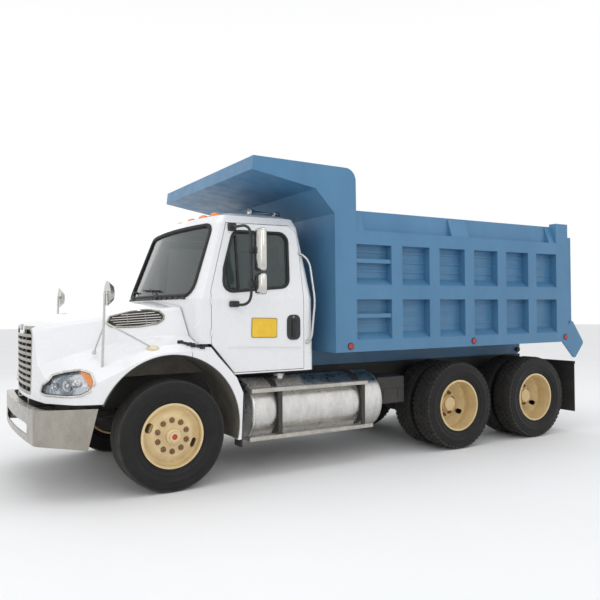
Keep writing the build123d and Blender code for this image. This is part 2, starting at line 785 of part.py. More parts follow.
@cache
def hood_form(inset):
    """The bonnet and both fenders as one form, drawn inwards by an inset."""
    low = hood_bottom - (40 if inset else 0)
    rows = []
    for x, out, out_z, mid, mid_z, valley, valley_z, shoulder, shoulder_z, top in hood_sections:
        right = [(out - inset, low), (out - inset, out_z - inset), (mid - inset, mid_z - inset),
                 (valley - inset, valley_z - inset), (shoulder - inset, shoulder_z - inset)]
        left = [(-y, z) for y, z in reversed(right)]
        crown = ThreePointArc(right[-1], (0, top - inset), left[0])
        face = make_face(Curve() + [Polyline(*right), crown, Polyline(*left), Line(left[-1], right[0])])
        face = fillet(face.vertices().sort_by(Axis.Y)[-2:], shoulder_round)
        rows.append(Plane.YZ.offset(x) * face)
    return loft(rows) & hood_plan(inset, (low, 2000))


# Grille opening in front view: half width, height
grille_corners = ((400, 880), (452, 1440), (400, 1520))


def grille_opening(shrink):
    """The grille's outline, drawn inwards."""
    s = shrink
    right = [(half - s, z + (s if k == 0 else -s if k == 2 else 0)) for k, (half, z) in enumerate(grille_corners)]
    left = [(-half, z) for half, z in reversed(right)]
    return right + left


# Headlamp and vent outlines in side view, and the rounding of their corners
lamp_outline = [(1062, 924), (1050, 1015), (985, 1094), (900, 1121), (768, 1138), (704, 1114), (698, 1038), (735, 966),
                (800, 931), (900, 919)]
lamp_round = 22
vent_outline = [(484, 1538), (446, 1602), (256, 1645), (110, 1662), (8, 1650), (-26, 1608), (-14, 1568), (40, 1532),
                (202, 1506), (332, 1502), (450, 1510)]
vent_round = 14
lamp_depth = 48


def hood():
    """The tilting hood as a shell, open below and behind, with its arches and openings cut."""
    skin = hood_form(0) - hood_form(hood_wall)
    skin = skin - rod_y(arch_x, arch_z, (-1300, 1300), arch_radius)
    skin = skin - cab_form(-cab_gap)
    skin = skin - slab((-500, fender_split_x + moving_gap), (-1300, 1300), (700, seam_z + moving_gap))
    skin = skin - slab((-500, -262 + cab_gap), (-1300, 1300), (700, 2000))
    skin = skin - front_plate(grille_opening(0), (900, 1300), 40)
    for sign in (1, -1):
        skin = skin - side_plate(lamp_outline, (sign * 600, sign * 1300), lamp_round)
        skin = skin - side_plate(vent_outline, (sign * 600, sign * 1000), vent_round)
    beam = slab((hood_pivot_x - 16, nose_x), (-hood_pivot_y - 80, hood_pivot_y + 80),
                (hood_bottom + 2, grille_corners[0][1] - 2))
    skin = skin + (beam & hood_form(2))
    for sign in (1, -1):
        y = sign * (hood_pivot_y - 34)
        lug = side_plate([(hood_pivot_x - 26, hood_pivot_z - 24), (hood_pivot_x + 14, hood_pivot_z - 24),
                          (hood_pivot_x + 14, hood_bottom + 6), (hood_pivot_x - 26, hood_bottom + 6)],
                         (y - 10, y + 10))
        skin = skin + (lug - rod_y(hood_pivot_x, hood_pivot_z, (y - 20, y + 20), hood_pin_radius + running_gap))
    return skin.solids().sort_by(SortBy.VOLUME)[-1]


def grille():
    """The surround, the bars and the mesh behind them."""
    layer = hood_form(0) - hood_form(lamp_depth)
    ring = layer & (front_plate(grille_opening(seat_gap), (900, 1300), 40)
                   - front_plate(grille_opening(32), (880, 1320), 30))
    low, high = grille_corners[0][1] + 32, grille_corners[2][1] - 32
    bars = []
    count = 9
    for i in range(count):
        z = low + (high - low) * (i + 1) / (count + 1)
        bars.append(layer & slab((900, 1300), (-470, 470), (z - 15, z + 15)))
    for y in (-200, 0, 200):
        bars.append(layer & slab((900, 1300), (y - 7, y + 7), (low - 20, high + 20)))
    whole = fuse([ring] + [bar_piece & front_plate(grille_opening(20), (880, 1320)) for bar_piece in bars])
    return whole


def headlamps():
    layer = hood_form(0) - hood_form(lamp_depth)
    lamp = layer & side_plate(lamp_outline, (600, 1300), lamp_round)
    lamp = lamp.solids().sort_by(SortBy.VOLUME)[-1]
    return pair(lamp)


def hood_vents():
    layer = hood_form(0) - hood_form(lamp_depth)
    vent = (layer & side_plate(vent_outline, (600, 1000), vent_round)).solids().sort_by(SortBy.VOLUME)[-1]
    return pair(vent)


def hood_mirror():
    """The left hood mirror: a post, two stays and a round head."""
    post = bar((607, 1025, 1110), (585, 1040, 1830), 11)
    stay = bar((592, 1035, 1560), (180, 1075, 1325), 8)
    brace = bar((594, 1033, 1520), (640, 880, 1290), 8)
    head = Pos(545, 1060, 1810) * Rot(0, -90, 0) * Cone(112, 70, 46)
    neck = bar((585, 1040, 1810), (552, 1055, 1810), 10)
    feet = Pos(607, 1025, 1125) * Sphere(20) + Pos(180, 1075, 1318) * Sphere(22) + Pos(640, 880, 1285) * Sphere(20)
    return (post + stay + brace + head + neck + feet) - hood_form(0)


def quarter_ring(y, offset, top_z, bend):
    """The quarter fender in side view at one Y: the arch's edge, and an edge kept off the door's slanting seam."""
    arch_at_split = arch_z + sqrt(arch_radius ** 2 - (fender_split_x - arch_x) ** 2)
    start = (fender_split_x, arch_at_split)
    foot = (arch_x - sqrt(arch_radius ** 2 - (quarter_foot_z - arch_z) ** 2), quarter_foot_z)
    middle = (arch_x + arch_radius * cos(radians(quarter_angle)), arch_z + arch_radius * sin(radians(quarter_angle)))
    low_corner = (door_foot_x + offset * 0.77, cab_bottom - offset * 0.63)
    edges = [ThreePointArc(start, middle, foot), Line(foot, (foot[0] - 36, quarter_foot_z)),
             Line((foot[0] - 36, quarter_foot_z), (arch_x - arch_radius - 36, 860)),
             Line((arch_x - arch_radius - 36, 860), low_corner), Line(low_corner, bend),
             Line(bend, (fender_split_x, top_z)), Line((fender_split_x, top_z), start)]
    return Plane.XZ.offset(-y) * make_face(Curve() + edges)


def quarter_fenders():
    """The cab's part of each front fender, behind the wheel, and the liner over the wheel."""
    inner = quarter_ring(1060, 10, 1340, (door_hinge_x + 8, 1326))
    outer = quarter_ring(fender_half_width, 34, 1262, (door_hinge_x - 16, 1238))
    solid = loft([inner, outer], ruled=True)
    ring = Pos(arch_x, arch_z) * (Circle(arch_radius + 8) - Circle(arch_radius))
    reach = 1200
    wedge = [(arch_x, arch_z)]
    for angle in (118, 156, 194):
        wedge.append((arch_x + reach * cos(radians(angle)), arch_z + reach * sin(radians(angle))))
    liner = extrude(Plane.XZ.offset(-1070) * (ring & outline(wedge)), 500)
    liner = liner - slab((-1000, 500), (500, 1200), (seam_z - cab_gap, 1500))
    whole = (solid + liner) - cab_form(-2)
    return pair(whole.solids().sort_by(SortBy.VOLUME)[-1])


# Tanks, steps, box, flaps

def fuel_tanks():
    tank = rod_x(tank_y, tank_z, (tank_front - tank_length, tank_front), tank_radius)
    tank = fillet(tank.edges().filter_by(GeomType.CIRCLE), 26)
    cap = Pos(tank_front - 430, tank_y + 60, tank_z + tank_radius - 10) * Cylinder(46, 60)
    return pair(tank + cap)


def tank_steps():
    """The straps round each tank, and the two planks that they carry."""
    pieces = []
    for x in (tank_front - strap_inset, tank_front - tank_length + strap_inset):
        band = rod_x(tank_y, tank_z, (x - strap_width / 2, x + strap_width / 2),
                     tank_radius + seat_gap + strap_thickness)
        band = band - rod_x(tank_y, tank_z, (x - strap_width, x + strap_width), tank_radius + seat_gap)
        arm = slab((x - 25, x + 25), (rail_y, tank_y - tank_radius - seat_gap - 1), (720, 860))
        wall = tank_radius + seat_gap + strap_thickness
        upright = front_plate([(tank_y + wall - 4, tank_z - 60), (tank_y + wall - 4, tank_z + 60),
                               (step_y + 20, upper_step_z + 4), (step_y + 44, upper_step_z + 4),
                               (step_y + 40, lower_step_z + 20), (step_y + 16, lower_step_z + 20)],
                              (x - 22, x + 22))
        pieces += [band, arm, upright]
    for z, ends in ((upper_step_z, (-2195, -799)), (lower_step_z, (-2260, -773))):
        pieces.append(slab(ends, (step_y - step_half_width_y, step_y + step_half_width_y),
                           (z, z + step_thickness)))
    return pair(fuse(pieces).solids().sort_by(SortBy.VOLUME)[-1])


def equipment_box():
    box = slab((-2827, -2440), (640, 1000), (581, 887))
    box = fillet(box.edges(), 14)
    arm = slab((-2700, -2560), (rail_y, 650), (760, 880))
    return box + arm


def mud_flaps():
    x = -5600
    flap = slab((x - 5, x + 5), (600, 1190), (260, 905))
    arm = slab((x - 20, x + 16), (rail_y - 60, 1190), (895, 930))
    link = slab((x - 20, rail_rear), (rail_y - 60, rail_y - 2), (895, 930))
    return pair(flap + arm + link)


# Dump bed

def bed_posts():
    """Each post's front and rear X, from the front of the bed."""
    posts = [(bed_front, bed_front - front_post_width)]
    for i in range(side_posts):
        centre = first_post_x - post_pitch * i
        posts.append((centre + side_post_width / 2, centre - side_post_width / 2))
    posts.append((bed_rear + rear_post_width, bed_rear))
    return posts


def bed_side():
    """The left side: sheet, rails, posts, the sloped feet of its pockets, and the board on top."""
    outer = body_half_width
    inner = outer - post_depth
    y = (inner, outer)
    sheet = slab((bed_rear, bed_front - sheet_thickness), (inner - sheet_thickness, inner + 2),
                 (bed_bottom, top_rail_top))
    pieces = [sheet]
    for low, high in ((bed_bottom, ledge_z), (mid_rail_bottom, mid_rail_top), (top_rail_bottom, top_rail_top)):
        pieces.append(slab((bed_rear, bed_front), y, (low, high)))
    posts = bed_posts()
    for k, (front, rear) in enumerate(posts):
        top = board_top + 34 if k == len(posts) - 1 else top_rail_top
        pieces.append(slab((rear, front), y, (bed_bottom, top)))
    for k in range(len(posts) - 1):
        bay = (posts[k + 1][0] - 4, posts[k][1] + 4)
        for foot, head in ((ledge_z, mid_rail_bottom), (mid_rail_top, top_rail_bottom)):
            wedge = [(inner - 2, foot - 4), (outer - 4, foot - 4), (outer - 4, foot + 2), (inner, foot + shedder_rise),
                     (inner - 2, foot + shedder_rise)]
            pieces.append(front_plate(wedge, bay))
            for share in (0.36, 0.6, 0.84):
                z = foot + (head - foot) * share
                pieces.append(slab(bay, (inner - 2, inner + rib_depth), (z - rib_height / 2, z + rib_height / 2)))
            if k == 0:
                z = (foot + head) / 2 + 18
                pieces.append(slab(bay, (inner - 2, outer - 12), (z, z + rung_height)))
    lean = 26
    board = front_plate([(inner, top_rail_top - 4), (inner + 30, top_rail_top - 4), (inner + 10 - lean + 20, board_top),
                         (inner - lean + 20, board_top)], (bed_rear + 20, bed_front - front_post_width + 2))
    pieces.append(board)
    for ends in board_gussets:
        gusset = [(inner, top_rail_top - 4), (outer - 14, top_rail_top - 4), (inner + 16, board_top - 16),
                  (inner, board_top - 16)]
        pieces.append(front_plate(gusset, ends))
    tail = tandem_centre - rear_overhang
    ear = side_plate([(tail + 236, 1505), (tail - 14, 1178), (tail + 179, 963), (tail + 427, 1203)],
                     (outer - 14, outer), 45)
    pieces.append(ear & slab((tail, tail + 500), (outer - 20, outer + 5), (900, 1600)))
    pieces.append(rod_y(gate_hinge_x, gate_hinge_z, (inner - 52, outer - 20), gate_pin_radius))
    return fuse(pieces)


def cab_shield():
    """The bed's front wall and the shield over the cab, as one folded sheet with closed cheeks."""
    t = sheet_thickness
    half = body_half_width
    corner = (-2010, 3139)
    outer = outline([(-797, 3154), corner, (-2013, top_rail_top), (bed_front, top_rail_top), (bed_front, 2650),
                     (-1507, 2891), (-780, 3017)])
    bend = [v for v in outer.vertices() if (v.X - corner[0]) ** 2 + (v.Y - corner[1]) ** 2 < 1]
    outer = fillet(bend, shield_round)
    inner = [(-797 - t, 3154 - t), (-1880, 3140 - t), (-1960, 3085), (-2002, 3014), (-2080, 3000),
             (-2080, top_rail_top - 20), (bed_front - t, top_rail_top - 20), (bed_front - t, 2652),
             (-1512, 2891 + t), (-780 - 3 * t, 3017 + t)]
    shell = extrude(Plane.XZ.offset(-half) * outer, 2 * half) - side_plate(inner, (-(half - t), half - t))
    wall = slab((bed_front - t, bed_front), (-(half - post_depth), half - post_depth), (bed_bottom, 2600))
    return shell + wall


def bed_floor():
    """The floor plate, its cross sills, and the ears that the hoist's rods push on."""
    half = body_half_width - post_depth - sheet_thickness
    pieces = [slab((bed_rear, bed_front - sheet_thickness), (-half, half), (floor_z - 10, floor_z))]
    count = 12
    for i in range(count):
        x = bed_front - 120 + (bed_rear + 60 - bed_front + 120) * i / (count - 1)
        pieces.append(slab((x - 38, x + 38), (-half, half), (sill_top, floor_z - 8)))
    pieces.append(slab((hoist_eye_x - 60, hoist_eye_x + 60), (-half, half), (sill_top, floor_z - 8)))
    for sign in (1, -1):
        for edge in (-1, 1):
            ear_y = sign * hoist_y + edge * (rod_radius + 22)
            pieces.append(side_plate([(hoist_eye_x - 60, sill_top + 4), (hoist_eye_x + 60, sill_top + 4),
                                      (hoist_eye_x + 36, hoist_eye_z - 36), (hoist_eye_x - 36, hoist_eye_z - 36)],
                                     (ear_y - 8, ear_y + 8)))
    return fuse(pieces)


def bed_sills():
    """The two long sills under the floor, each ending in the barrel of the tipping hinge."""
    low = rail_top + bed_gap
    y = (bed_sill_y - bed_sill_width / 2, bed_sill_y + bed_sill_width / 2)
    drop = bed_hinge_z - low
    sill = slab((bed_hinge_x, bed_front - 20), y, (low, sill_top - seat_gap))
    block = slab((bed_hinge_x - drop, bed_hinge_x), y, (bed_hinge_z, sill_top - seat_gap))
    barrel = rod_y(bed_hinge_x, bed_hinge_z, y, drop)
    bore = rod_y(bed_hinge_x, bed_hinge_z, (0, 600), bed_hinge_radius + running_gap)
    return pair(fuse([sill, block, barrel]) - bore)


def marker_lamps():
    """Three red lamps along the bottom rail of each side."""
    lamps = []
    for x in (-1926, -3717, -5390):
        lamps.append(rod_y(x, (bed_bottom + ledge_z) / 2, (body_half_width + seat_gap, body_half_width + 8), 30))
    return pair(group(*lamps))


def tailgate():
    """The top-hung tailgate: sheet, frame and ribs, with a pin at each upper corner."""
    half = body_half_width - post_depth - sheet_thickness - moving_gap
    front = bed_rear - moving_gap
    back = front - gate_thickness
    wide = body_half_width - 20
    plate = slab((front - 8, front), (-wide, wide), (bed_bottom + 10, gate_hinge_z - 60))
    pieces = [plate]
    for z in (bed_bottom + 10, 1640, 2080, gate_hinge_z - 180):
        pieces.append(slab((back, front), (-wide, wide), (z, z + 120)))
    for y in (-wide + 45, -wide / 2, 0, wide / 2, wide - 45):
        pieces.append(slab((back, front), (y - 45, y + 45), (bed_bottom + 10, gate_hinge_z - 60)))
    eye = gate_pin_radius + 20
    for sign in (1, -1):
        y = sign * (body_half_width - post_depth - 36)
        arm = side_plate([(back, gate_hinge_z - 120), (front, gate_hinge_z - 120),
                          (gate_hinge_x + eye * 0.7, gate_hinge_z - eye * 0.7), (gate_hinge_x, gate_hinge_z + eye),
                          (front + 10, gate_hinge_z + eye), (back, gate_hinge_z - 40)], (y - 12, y + 12))
        arm = arm + rod_y(gate_hinge_x, gate_hinge_z, (y - 12, y + 12), eye)
        pieces.append(arm - rod_y(gate_hinge_x, gate_hinge_z, (y - 20, y + 20), gate_pin_radius + running_gap))
    return fuse(pieces)


# Hoist

def hoist_line():
    start = Vector(hoist_foot_x, 0, hoist_foot_z)
    end = Vector(hoist_eye_x, 0, hoist_eye_z)
    return start, end, (end - start).normalized(), (end - start).length


def along(distance, y):
    start, _, way, _ = hoist_line()
    point = start + way * distance
    return (point.X, y, point.Z)


def hoist_barrels():
    """The two cylinders' barrels, each with the eye of its foot pin."""
    _, _, _, length = hoist_line()
    y = hoist_y
    barrel = bar(along(60, y), along(length - 110, y), barrel_radius)
    eye = rod_y(hoist_foot_x, hoist_foot_z, (y - 44, y + 44), 46) + bar(along(0, y), along(80, y), 40)
    bore = rod_y(hoist_foot_x, hoist_foot_z, (y - 100, y + 100), hoist_pin_radius + running_gap)
    bore = bore + bar(along(150, y), along(length, y), rod_radius + running_gap)
    return pair((barrel + eye) - bore)


def hoist_rods():
    _, _, _, length = hoist_line()
    y = hoist_y
    rod = bar(along(170, y), along(length - 20, y), rod_radius)
    eye = rod_y(hoist_eye_x, hoist_eye_z, (y - rod_radius, y + rod_radius), 46)
    return pair(rod + eye)


def build():
    os.makedirs("parts", exist_ok=True)
    front_wheel_nodes()
    drive_wheel_nodes()
    left_knuckle = knuckle()
    left_door = door()
    left_glass = door_glass()
    left_mirror = mirror_arm()
    left_side = bed_side()
    for side, sign in sides.items():
        for node, shape in (("knuckle", left_knuckle), ("door", left_door), ("door_glass", left_glass),
                            ("mirror", left_mirror), ("bed_side", left_side)):
            save(shape if sign > 0 else mirrored(shape), f"{node}_{side}")
    walls = cab_walls()
    save(walls - roof_cutter(), "cab_shell")
    save(walls & roof_cutter(), "cab_roof")
    export_step(rebuilt(hood()), "parts/hood.step")
    save(pair(hood_mirror()), "hood_mirrors")
    for maker in (frame, engine, front_axle, drive_axles, springs, front_bumper, cab_glass, dashboard, seats,
                  roof_lamps, grille, headlamps, hood_vents, quarter_fenders, fuel_tanks, tank_steps,
                  equipment_box, mud_flaps, cab_shield, bed_floor, bed_sills, marker_lamps, tailgate, hoist_barrels,
                  hoist_rods):
        save(maker(), maker.__name__)


build()
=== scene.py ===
"""A three-axle dump truck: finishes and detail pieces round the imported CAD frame.
Metres. X forward, Y to the vehicle's left, Z up from the ground."""

from math import acos, cos, pi, radians, sin, tan

import bmesh
import bpy
from mathutils import Matrix, Vector
from mathutils.bvhtree import BVHTree
from mathutils.geometry import interpolate_bezier


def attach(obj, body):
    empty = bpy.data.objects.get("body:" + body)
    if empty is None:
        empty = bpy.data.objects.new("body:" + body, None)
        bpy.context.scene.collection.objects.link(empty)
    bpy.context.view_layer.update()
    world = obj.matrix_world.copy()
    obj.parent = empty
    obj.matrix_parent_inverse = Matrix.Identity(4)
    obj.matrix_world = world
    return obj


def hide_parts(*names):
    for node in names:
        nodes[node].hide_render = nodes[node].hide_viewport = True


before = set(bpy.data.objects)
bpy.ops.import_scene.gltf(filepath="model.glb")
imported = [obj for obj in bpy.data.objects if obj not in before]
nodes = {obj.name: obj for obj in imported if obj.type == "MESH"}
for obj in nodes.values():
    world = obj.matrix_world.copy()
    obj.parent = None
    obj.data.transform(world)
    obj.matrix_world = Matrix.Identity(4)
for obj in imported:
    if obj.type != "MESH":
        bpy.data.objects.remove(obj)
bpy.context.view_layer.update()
scene = bpy.context.scene
sides = (("left", 1), ("right", -1))

# The middle of the front axle, from which the sizes below are given in millimetres
axle_x = 2.2775
wheel_z = 0.51
mid_axle_x = -1.2245
rear_axle_x = -2.5505
outer_wheel_y = 1.072
front_wheel_y = 1.021
dual_spacing = 0.335


def at(x, y, z):
    """A point given in millimetres from the front axle, in metres of the row's frame."""
    return Vector((x / 1000 + axle_x, y / 1000, z / 1000))


# Finishes

def finish(name, base, second, roughness, metallic=0.0, patch=2.5, stretch=(1.0, 1.0, 1.0), blend=(0.35, 0.7),
           grain=250.0, bump=0.05, spread=0.08, grime=None, sockets=None, lines=None):
    """A finish in layers: two mottled colours, grime from below, uneven gloss and a fine grain."""
    made = bpy.data.materials.new(name)
    made.use_nodes = True
    tree = made.node_tree
    shader = tree.nodes["Principled BSDF"]
    shader.inputs["Metallic"].default_value = metallic
    for socket, value in (sockets or {}).items():
        shader.inputs[socket].default_value = value

    def add(kind, *links, **settings):
        """Adds a shader node with its settings, fed by the sources linked to its sockets."""
        node = tree.nodes.new(kind)
        for key, value in settings.items():
            if hasattr(node, key):
                setattr(node, key, value)
            else:
                node.inputs[key.replace("_", " ")].default_value = value
        for source, socket in links:
            tree.links.new(source, node.inputs[socket])
        return node

    place = add("ShaderNodeTexCoord").outputs["Object"]
    turned = add("ShaderNodeMapping", (place, "Vector"), Scale=stretch).outputs["Vector"]
    patches = add("ShaderNodeTexNoise", (turned, "Vector"), Scale=patch, Detail=6.0, Roughness=0.6)
    share = add("ShaderNodeMapRange", (patches.outputs["Fac"], "Value"), From_Min=blend[0], From_Max=blend[1])
    colour = add("ShaderNodeMix", (share.outputs["Result"], 0), data_type="RGBA")
    colour.inputs[6].default_value = (*base, 1)
    colour.inputs[7].default_value = (*second, 1)
    colour = colour.outputs[2]
    if grime:
        dirt, low, high, amount = grime
        height = add("ShaderNodeSeparateXYZ", (place, "Vector")).outputs["Z"]
        rise = add("ShaderNodeMapRange", (height, "Value"), From_Min=low, From_Max=high, To_Min=amount,
                   To_Max=0.0)
        spots = add("ShaderNodeTexNoise", (place, "Vector"), Scale=7.0, Detail=8.0, Roughness=0.7)
        cover = add("ShaderNodeMapRange", (spots.outputs["Fac"], "Value"), From_Min=0.3, From_Max=0.75)
        cover = add("ShaderNodeMath", (rise.outputs["Result"], 0), (cover.outputs["Result"], 1),
                    operation="MULTIPLY")
        dirty = add("ShaderNodeMix", (cover.outputs[0], 0), (colour, 6), data_type="RGBA")
        dirty.inputs[7].default_value = (*dirt, 1)
        colour = dirty.outputs[2]
    tree.links.new(colour, shader.inputs["Base Color"])
    gloss = add("ShaderNodeTexNoise", (place, "Vector"), Scale=patch * 3.7, Detail=4.0)
    gloss = add("ShaderNodeMapRange", (gloss.outputs["Fac"], "Value"), From_Min=0.3, From_Max=0.7,
                To_Min=max(0.02, roughness - spread), To_Max=min(1.0, roughness + spread))
    tree.links.new(gloss.outputs["Result"], shader.inputs["Roughness"])
    fine = add("ShaderNodeTexNoise", (turned, "Vector"), Scale=grain, Detail=3.0).outputs["Fac"]
    if lines:
        axis, pitch, weight = lines
        wave = add("ShaderNodeTexWave", (place, "Vector"), bands_direction=axis, Scale=pitch, Distortion=0.4)
        fine = add("ShaderNodeMix", (fine, 2), (wave.outputs["Fac"], 3), Factor=weight).outputs[0]
    relief = add("ShaderNodeBump", (fine, "Height"), Strength=bump, Distance=0.002)
    tree.links.new(relief.outputs["Normal"], shader.inputs["Normal"])
    return made


clear_coat = {"Coat Weight": 0.7, "Coat Roughness": 0.08}
white_paint = finish("white_paint", (0.76, 0.77, 0.785), (0.745, 0.755, 0.77), 0.26, patch=1.6, bump=0.008,
                     spread=0.04, grime=((0.45, 0.42, 0.36), 0.45, 1.2, 0.14), sockets=clear_coat)
blue_paint = finish("blue_paint", (0.058, 0.178, 0.325), (0.078, 0.212, 0.365), 0.38, patch=1.8,
                    stretch=(1.0, 1.0, 0.45), bump=0.03, grain=120.0, spread=0.10,
                    grime=((0.12, 0.19, 0.25), 0.9, 2.4, 0.30))
worn_steel = finish("worn_steel", (0.20, 0.20, 0.20), (0.10, 0.12, 0.14), 0.48, metallic=0.7, patch=4.0,
                    stretch=(0.3, 1.0, 1.0), bump=0.15, grain=60.0)
cream_paint = finish("cream_paint", (0.72, 0.56, 0.30), (0.60, 0.44, 0.22), 0.42, patch=9.0, blend=(0.45, 0.8),
                     bump=0.05, grime=((0.30, 0.21, 0.12), 0.15, 0.9, 0.45))
rust = finish("rust", (0.16, 0.085, 0.05), (0.30, 0.17, 0.10), 0.75, metallic=0.3, patch=60.0, bump=0.4)
rubber_side = finish("rubber_side", (0.006, 0.006, 0.0066), (0.010, 0.010, 0.0106), 0.50, patch=8.0, bump=0.10,
                     grain=400.0, grime=((0.040, 0.037, 0.032), 0.0, 1.1, 0.22),
                     sockets={"Specular IOR Level": 0.28})
rubber_tread = finish("rubber_tread", (0.014, 0.0135, 0.013), (0.027, 0.025, 0.023), 0.82, patch=14.0, bump=0.25,
                      grain=300.0, grime=((0.08, 0.072, 0.060), 0.0, 1.1, 0.45))
chrome = finish("chrome", (0.66, 0.65, 0.62), (0.55, 0.53, 0.49), 0.14, metallic=1.0, patch=5.0, bump=0.02,
                spread=0.08)
bumper_chrome = finish("bumper_chrome", (0.42, 0.395, 0.35), (0.31, 0.29, 0.255), 0.26, metallic=1.0, patch=6.0,
                       stretch=(1.0, 1.0, 0.5), bump=0.05, grain=40.0, spread=0.10,
                       grime=((0.20, 0.17, 0.13), 0.4, 0.75, 0.6))
dull_chrome = finish("dull_chrome", (0.40, 0.38, 0.33), (0.25, 0.23, 0.19), 0.26, metallic=1.0, patch=9.0,
                     bump=0.06, spread=0.12)
stainless = finish("stainless", (0.62, 0.61, 0.59), (0.52, 0.51, 0.49), 0.24, metallic=1.0, patch=5.0, bump=0.0)
lamp_silver = finish("lamp_silver", (0.62, 0.65, 0.68), (0.22, 0.26, 0.31), 0.22, metallic=0.85, patch=9.0,
                     stretch=(1.0, 1.0, 0.35), blend=(0.45, 0.55), bump=0.25, grain=60.0)
brushed_tank = finish("brushed_tank", (0.72, 0.71, 0.69), (0.58, 0.57, 0.55), 0.32, metallic=1.0, patch=5.0,
                      stretch=(3.0, 1.0, 1.0), bump=0.25, grain=90.0, spread=0.10,
                      grime=((0.30, 0.27, 0.22), 0.30, 0.58, 0.45))
tread_plate = finish("tread_plate", (0.58, 0.56, 0.52), (0.40, 0.38, 0.34), 0.42, metallic=0.9, patch=12.0,
                     bump=0.5, grain=130.0, grime=((0.30, 0.27, 0.22), 0.3, 1.0, 0.5))
black_steel = finish("black_steel", (0.018, 0.018, 0.019), (0.030, 0.028, 0.026), 0.52, patch=6.0, bump=0.12,
                     grime=((0.10, 0.085, 0.07), 0.3, 1.1, 0.55))
cast_grey = finish("cast_grey", (0.055, 0.054, 0.052), (0.09, 0.082, 0.072), 0.65, metallic=0.4, patch=10.0,
                   bump=0.35, grain=120.0)
black_plastic = finish("black_plastic", (0.016, 0.016, 0.017), (0.026, 0.026, 0.027), 0.48, patch=20.0,
                       bump=0.15, grain=500.0)
black_rubber = finish("black_rubber", (0.012, 0.012, 0.012), (0.024, 0.023, 0.022), 0.7, patch=15.0, bump=0.12)
flap_rubber = finish("flap_rubber", (0.012, 0.012, 0.012), (0.028, 0.026, 0.024), 0.68, patch=3.0, bump=0.2,
                     grain=80.0, grime=((0.085, 0.075, 0.062), 0.2, 0.9, 0.6))
liner_plastic = finish("liner_plastic", (0.15, 0.135, 0.11), (0.09, 0.08, 0.065), 0.7, patch=6.0, bump=0.3,
                       grain=60.0)
grey_plastic = finish("grey_plastic", (0.16, 0.165, 0.17), (0.12, 0.122, 0.125), 0.6, patch=9.0, bump=0.15,
                      grain=350.0)
seat_cloth = finish("seat_cloth", (0.13, 0.13, 0.14), (0.09, 0.09, 0.10), 0.85, patch=12.0, bump=0.4,
                    grain=600.0, sockets={"Sheen Weight": 0.3}, lines=("Y", 160.0, 0.5))
window_glass = finish("window_glass", (0.040, 0.058, 0.060), (0.052, 0.070, 0.072), 0.035, patch=3.0,
                      bump=0.0, spread=0.015, sockets={"Alpha": 0.62, "IOR": 1.5, "Specular IOR Level": 0.8})
clear_lens = finish("clear_lens", (0.22, 0.24, 0.26), (0.17, 0.19, 0.21), 0.05, patch=8.0, bump=0.0, spread=0.02,
                    sockets={"Alpha": 0.14, "IOR": 1.5, "Specular IOR Level": 0.8})
mirror_glass = finish("mirror_glass", (0.72, 0.74, 0.75), (0.66, 0.68, 0.69), 0.05, metallic=1.0, bump=0.0,
                      spread=0.02)
amber_lens = finish("amber_lens", (0.80, 0.25, 0.02), (0.62, 0.16, 0.01), 0.18, patch=40.0, bump=0.1, grain=200.0,
                    sockets={"Coat Weight": 0.6, "Emission Color": (0.8, 0.25, 0.02, 1),
                             "Emission Strength": 0.12})
red_lens = finish("red_lens", (0.42, 0.02, 0.02), (0.28, 0.012, 0.012), 0.22, patch=40.0, bump=0.2, grain=220.0,
                  sockets={"Coat Weight": 0.6})
cream_lens = finish("cream_lens", (0.70, 0.64, 0.42), (0.55, 0.47, 0.28), 0.3, patch=30.0, bump=0.15,
                    sockets={"Coat Weight": 0.4})
sign_yellow = finish("sign_yellow", (0.80, 0.52, 0.03), (0.72, 0.45, 0.03), 0.38, patch=14.0, bump=0.03)
sign_border = finish("sign_border", (0.05, 0.045, 0.03), (0.03, 0.028, 0.02), 0.5, patch=14.0, bump=0.03)
dark_mesh = finish("dark_mesh", (0.012, 0.012, 0.013), (0.022, 0.020, 0.018), 0.6, patch=8.0, bump=0.8,
                   grain=120.0, lines=("Y", 90.0, 0.7))

node_finish = {
    white_paint: ("cab_shell", "cab_roof", "hood", "door_left", "door_right", "quarter_fenders"),
    blue_paint: ("bed_floor", "bed_sills", "bed_side_left", "bed_side_right", "cab_shield", "tailgate"),
    cream_paint: ("front_wheel_left", "front_wheel_right", "mid_wheels_left", "mid_wheels_right",
                  "rear_wheels_left", "rear_wheels_right"),
    rubber_side: ("front_tyre_left", "front_tyre_right", "mid_tyres_left", "mid_tyres_right",
                  "rear_tyres_left", "rear_tyres_right"),
    window_glass: ("cab_glass", "door_glass_left", "door_glass_right"),
    bumper_chrome: ("front_bumper",),
    dull_chrome: ("grille",),
    dark_mesh: ("hood_vents",),
    clear_lens: ("headlamps",),
    stainless: ("hood_mirrors", "hoist_rods"),
    brushed_tank: ("fuel_tanks",),
    black_steel: ("frame", "front_axle", "drive_axles", "springs", "knuckle_left", "knuckle_right",
                  "hoist_barrels", "tank_steps", "equipment_box"),
    cast_grey: ("engine",),
    black_plastic: ("mirror_left", "mirror_right"),
    grey_plastic: ("dashboard",),
    flap_rubber: ("mud_flaps",),
    seat_cloth: ("seats",),
    amber_lens: ("roof_lamps",),
    red_lens: ("marker_lamps",),
}
for look, names in node_finish.items():
    for node_name in names:
        for material_slot in nodes[node_name].material_slots:
            material_slot.material = look


# Ways of making a piece

def placed(name, mesh, look, body, flat=35.0):
    """Links a finished mesh as one piece of a body, smooth but for its edges."""
    for face in mesh.polygons:
        face.use_smooth = True
    mesh.set_sharp_from_angle(angle=radians(flat))
    if look:
        mesh.materials.append(look)
    piece = bpy.data.objects.new(name, mesh)
    scene.collection.objects.link(piece)
    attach(piece, body)
    return piece


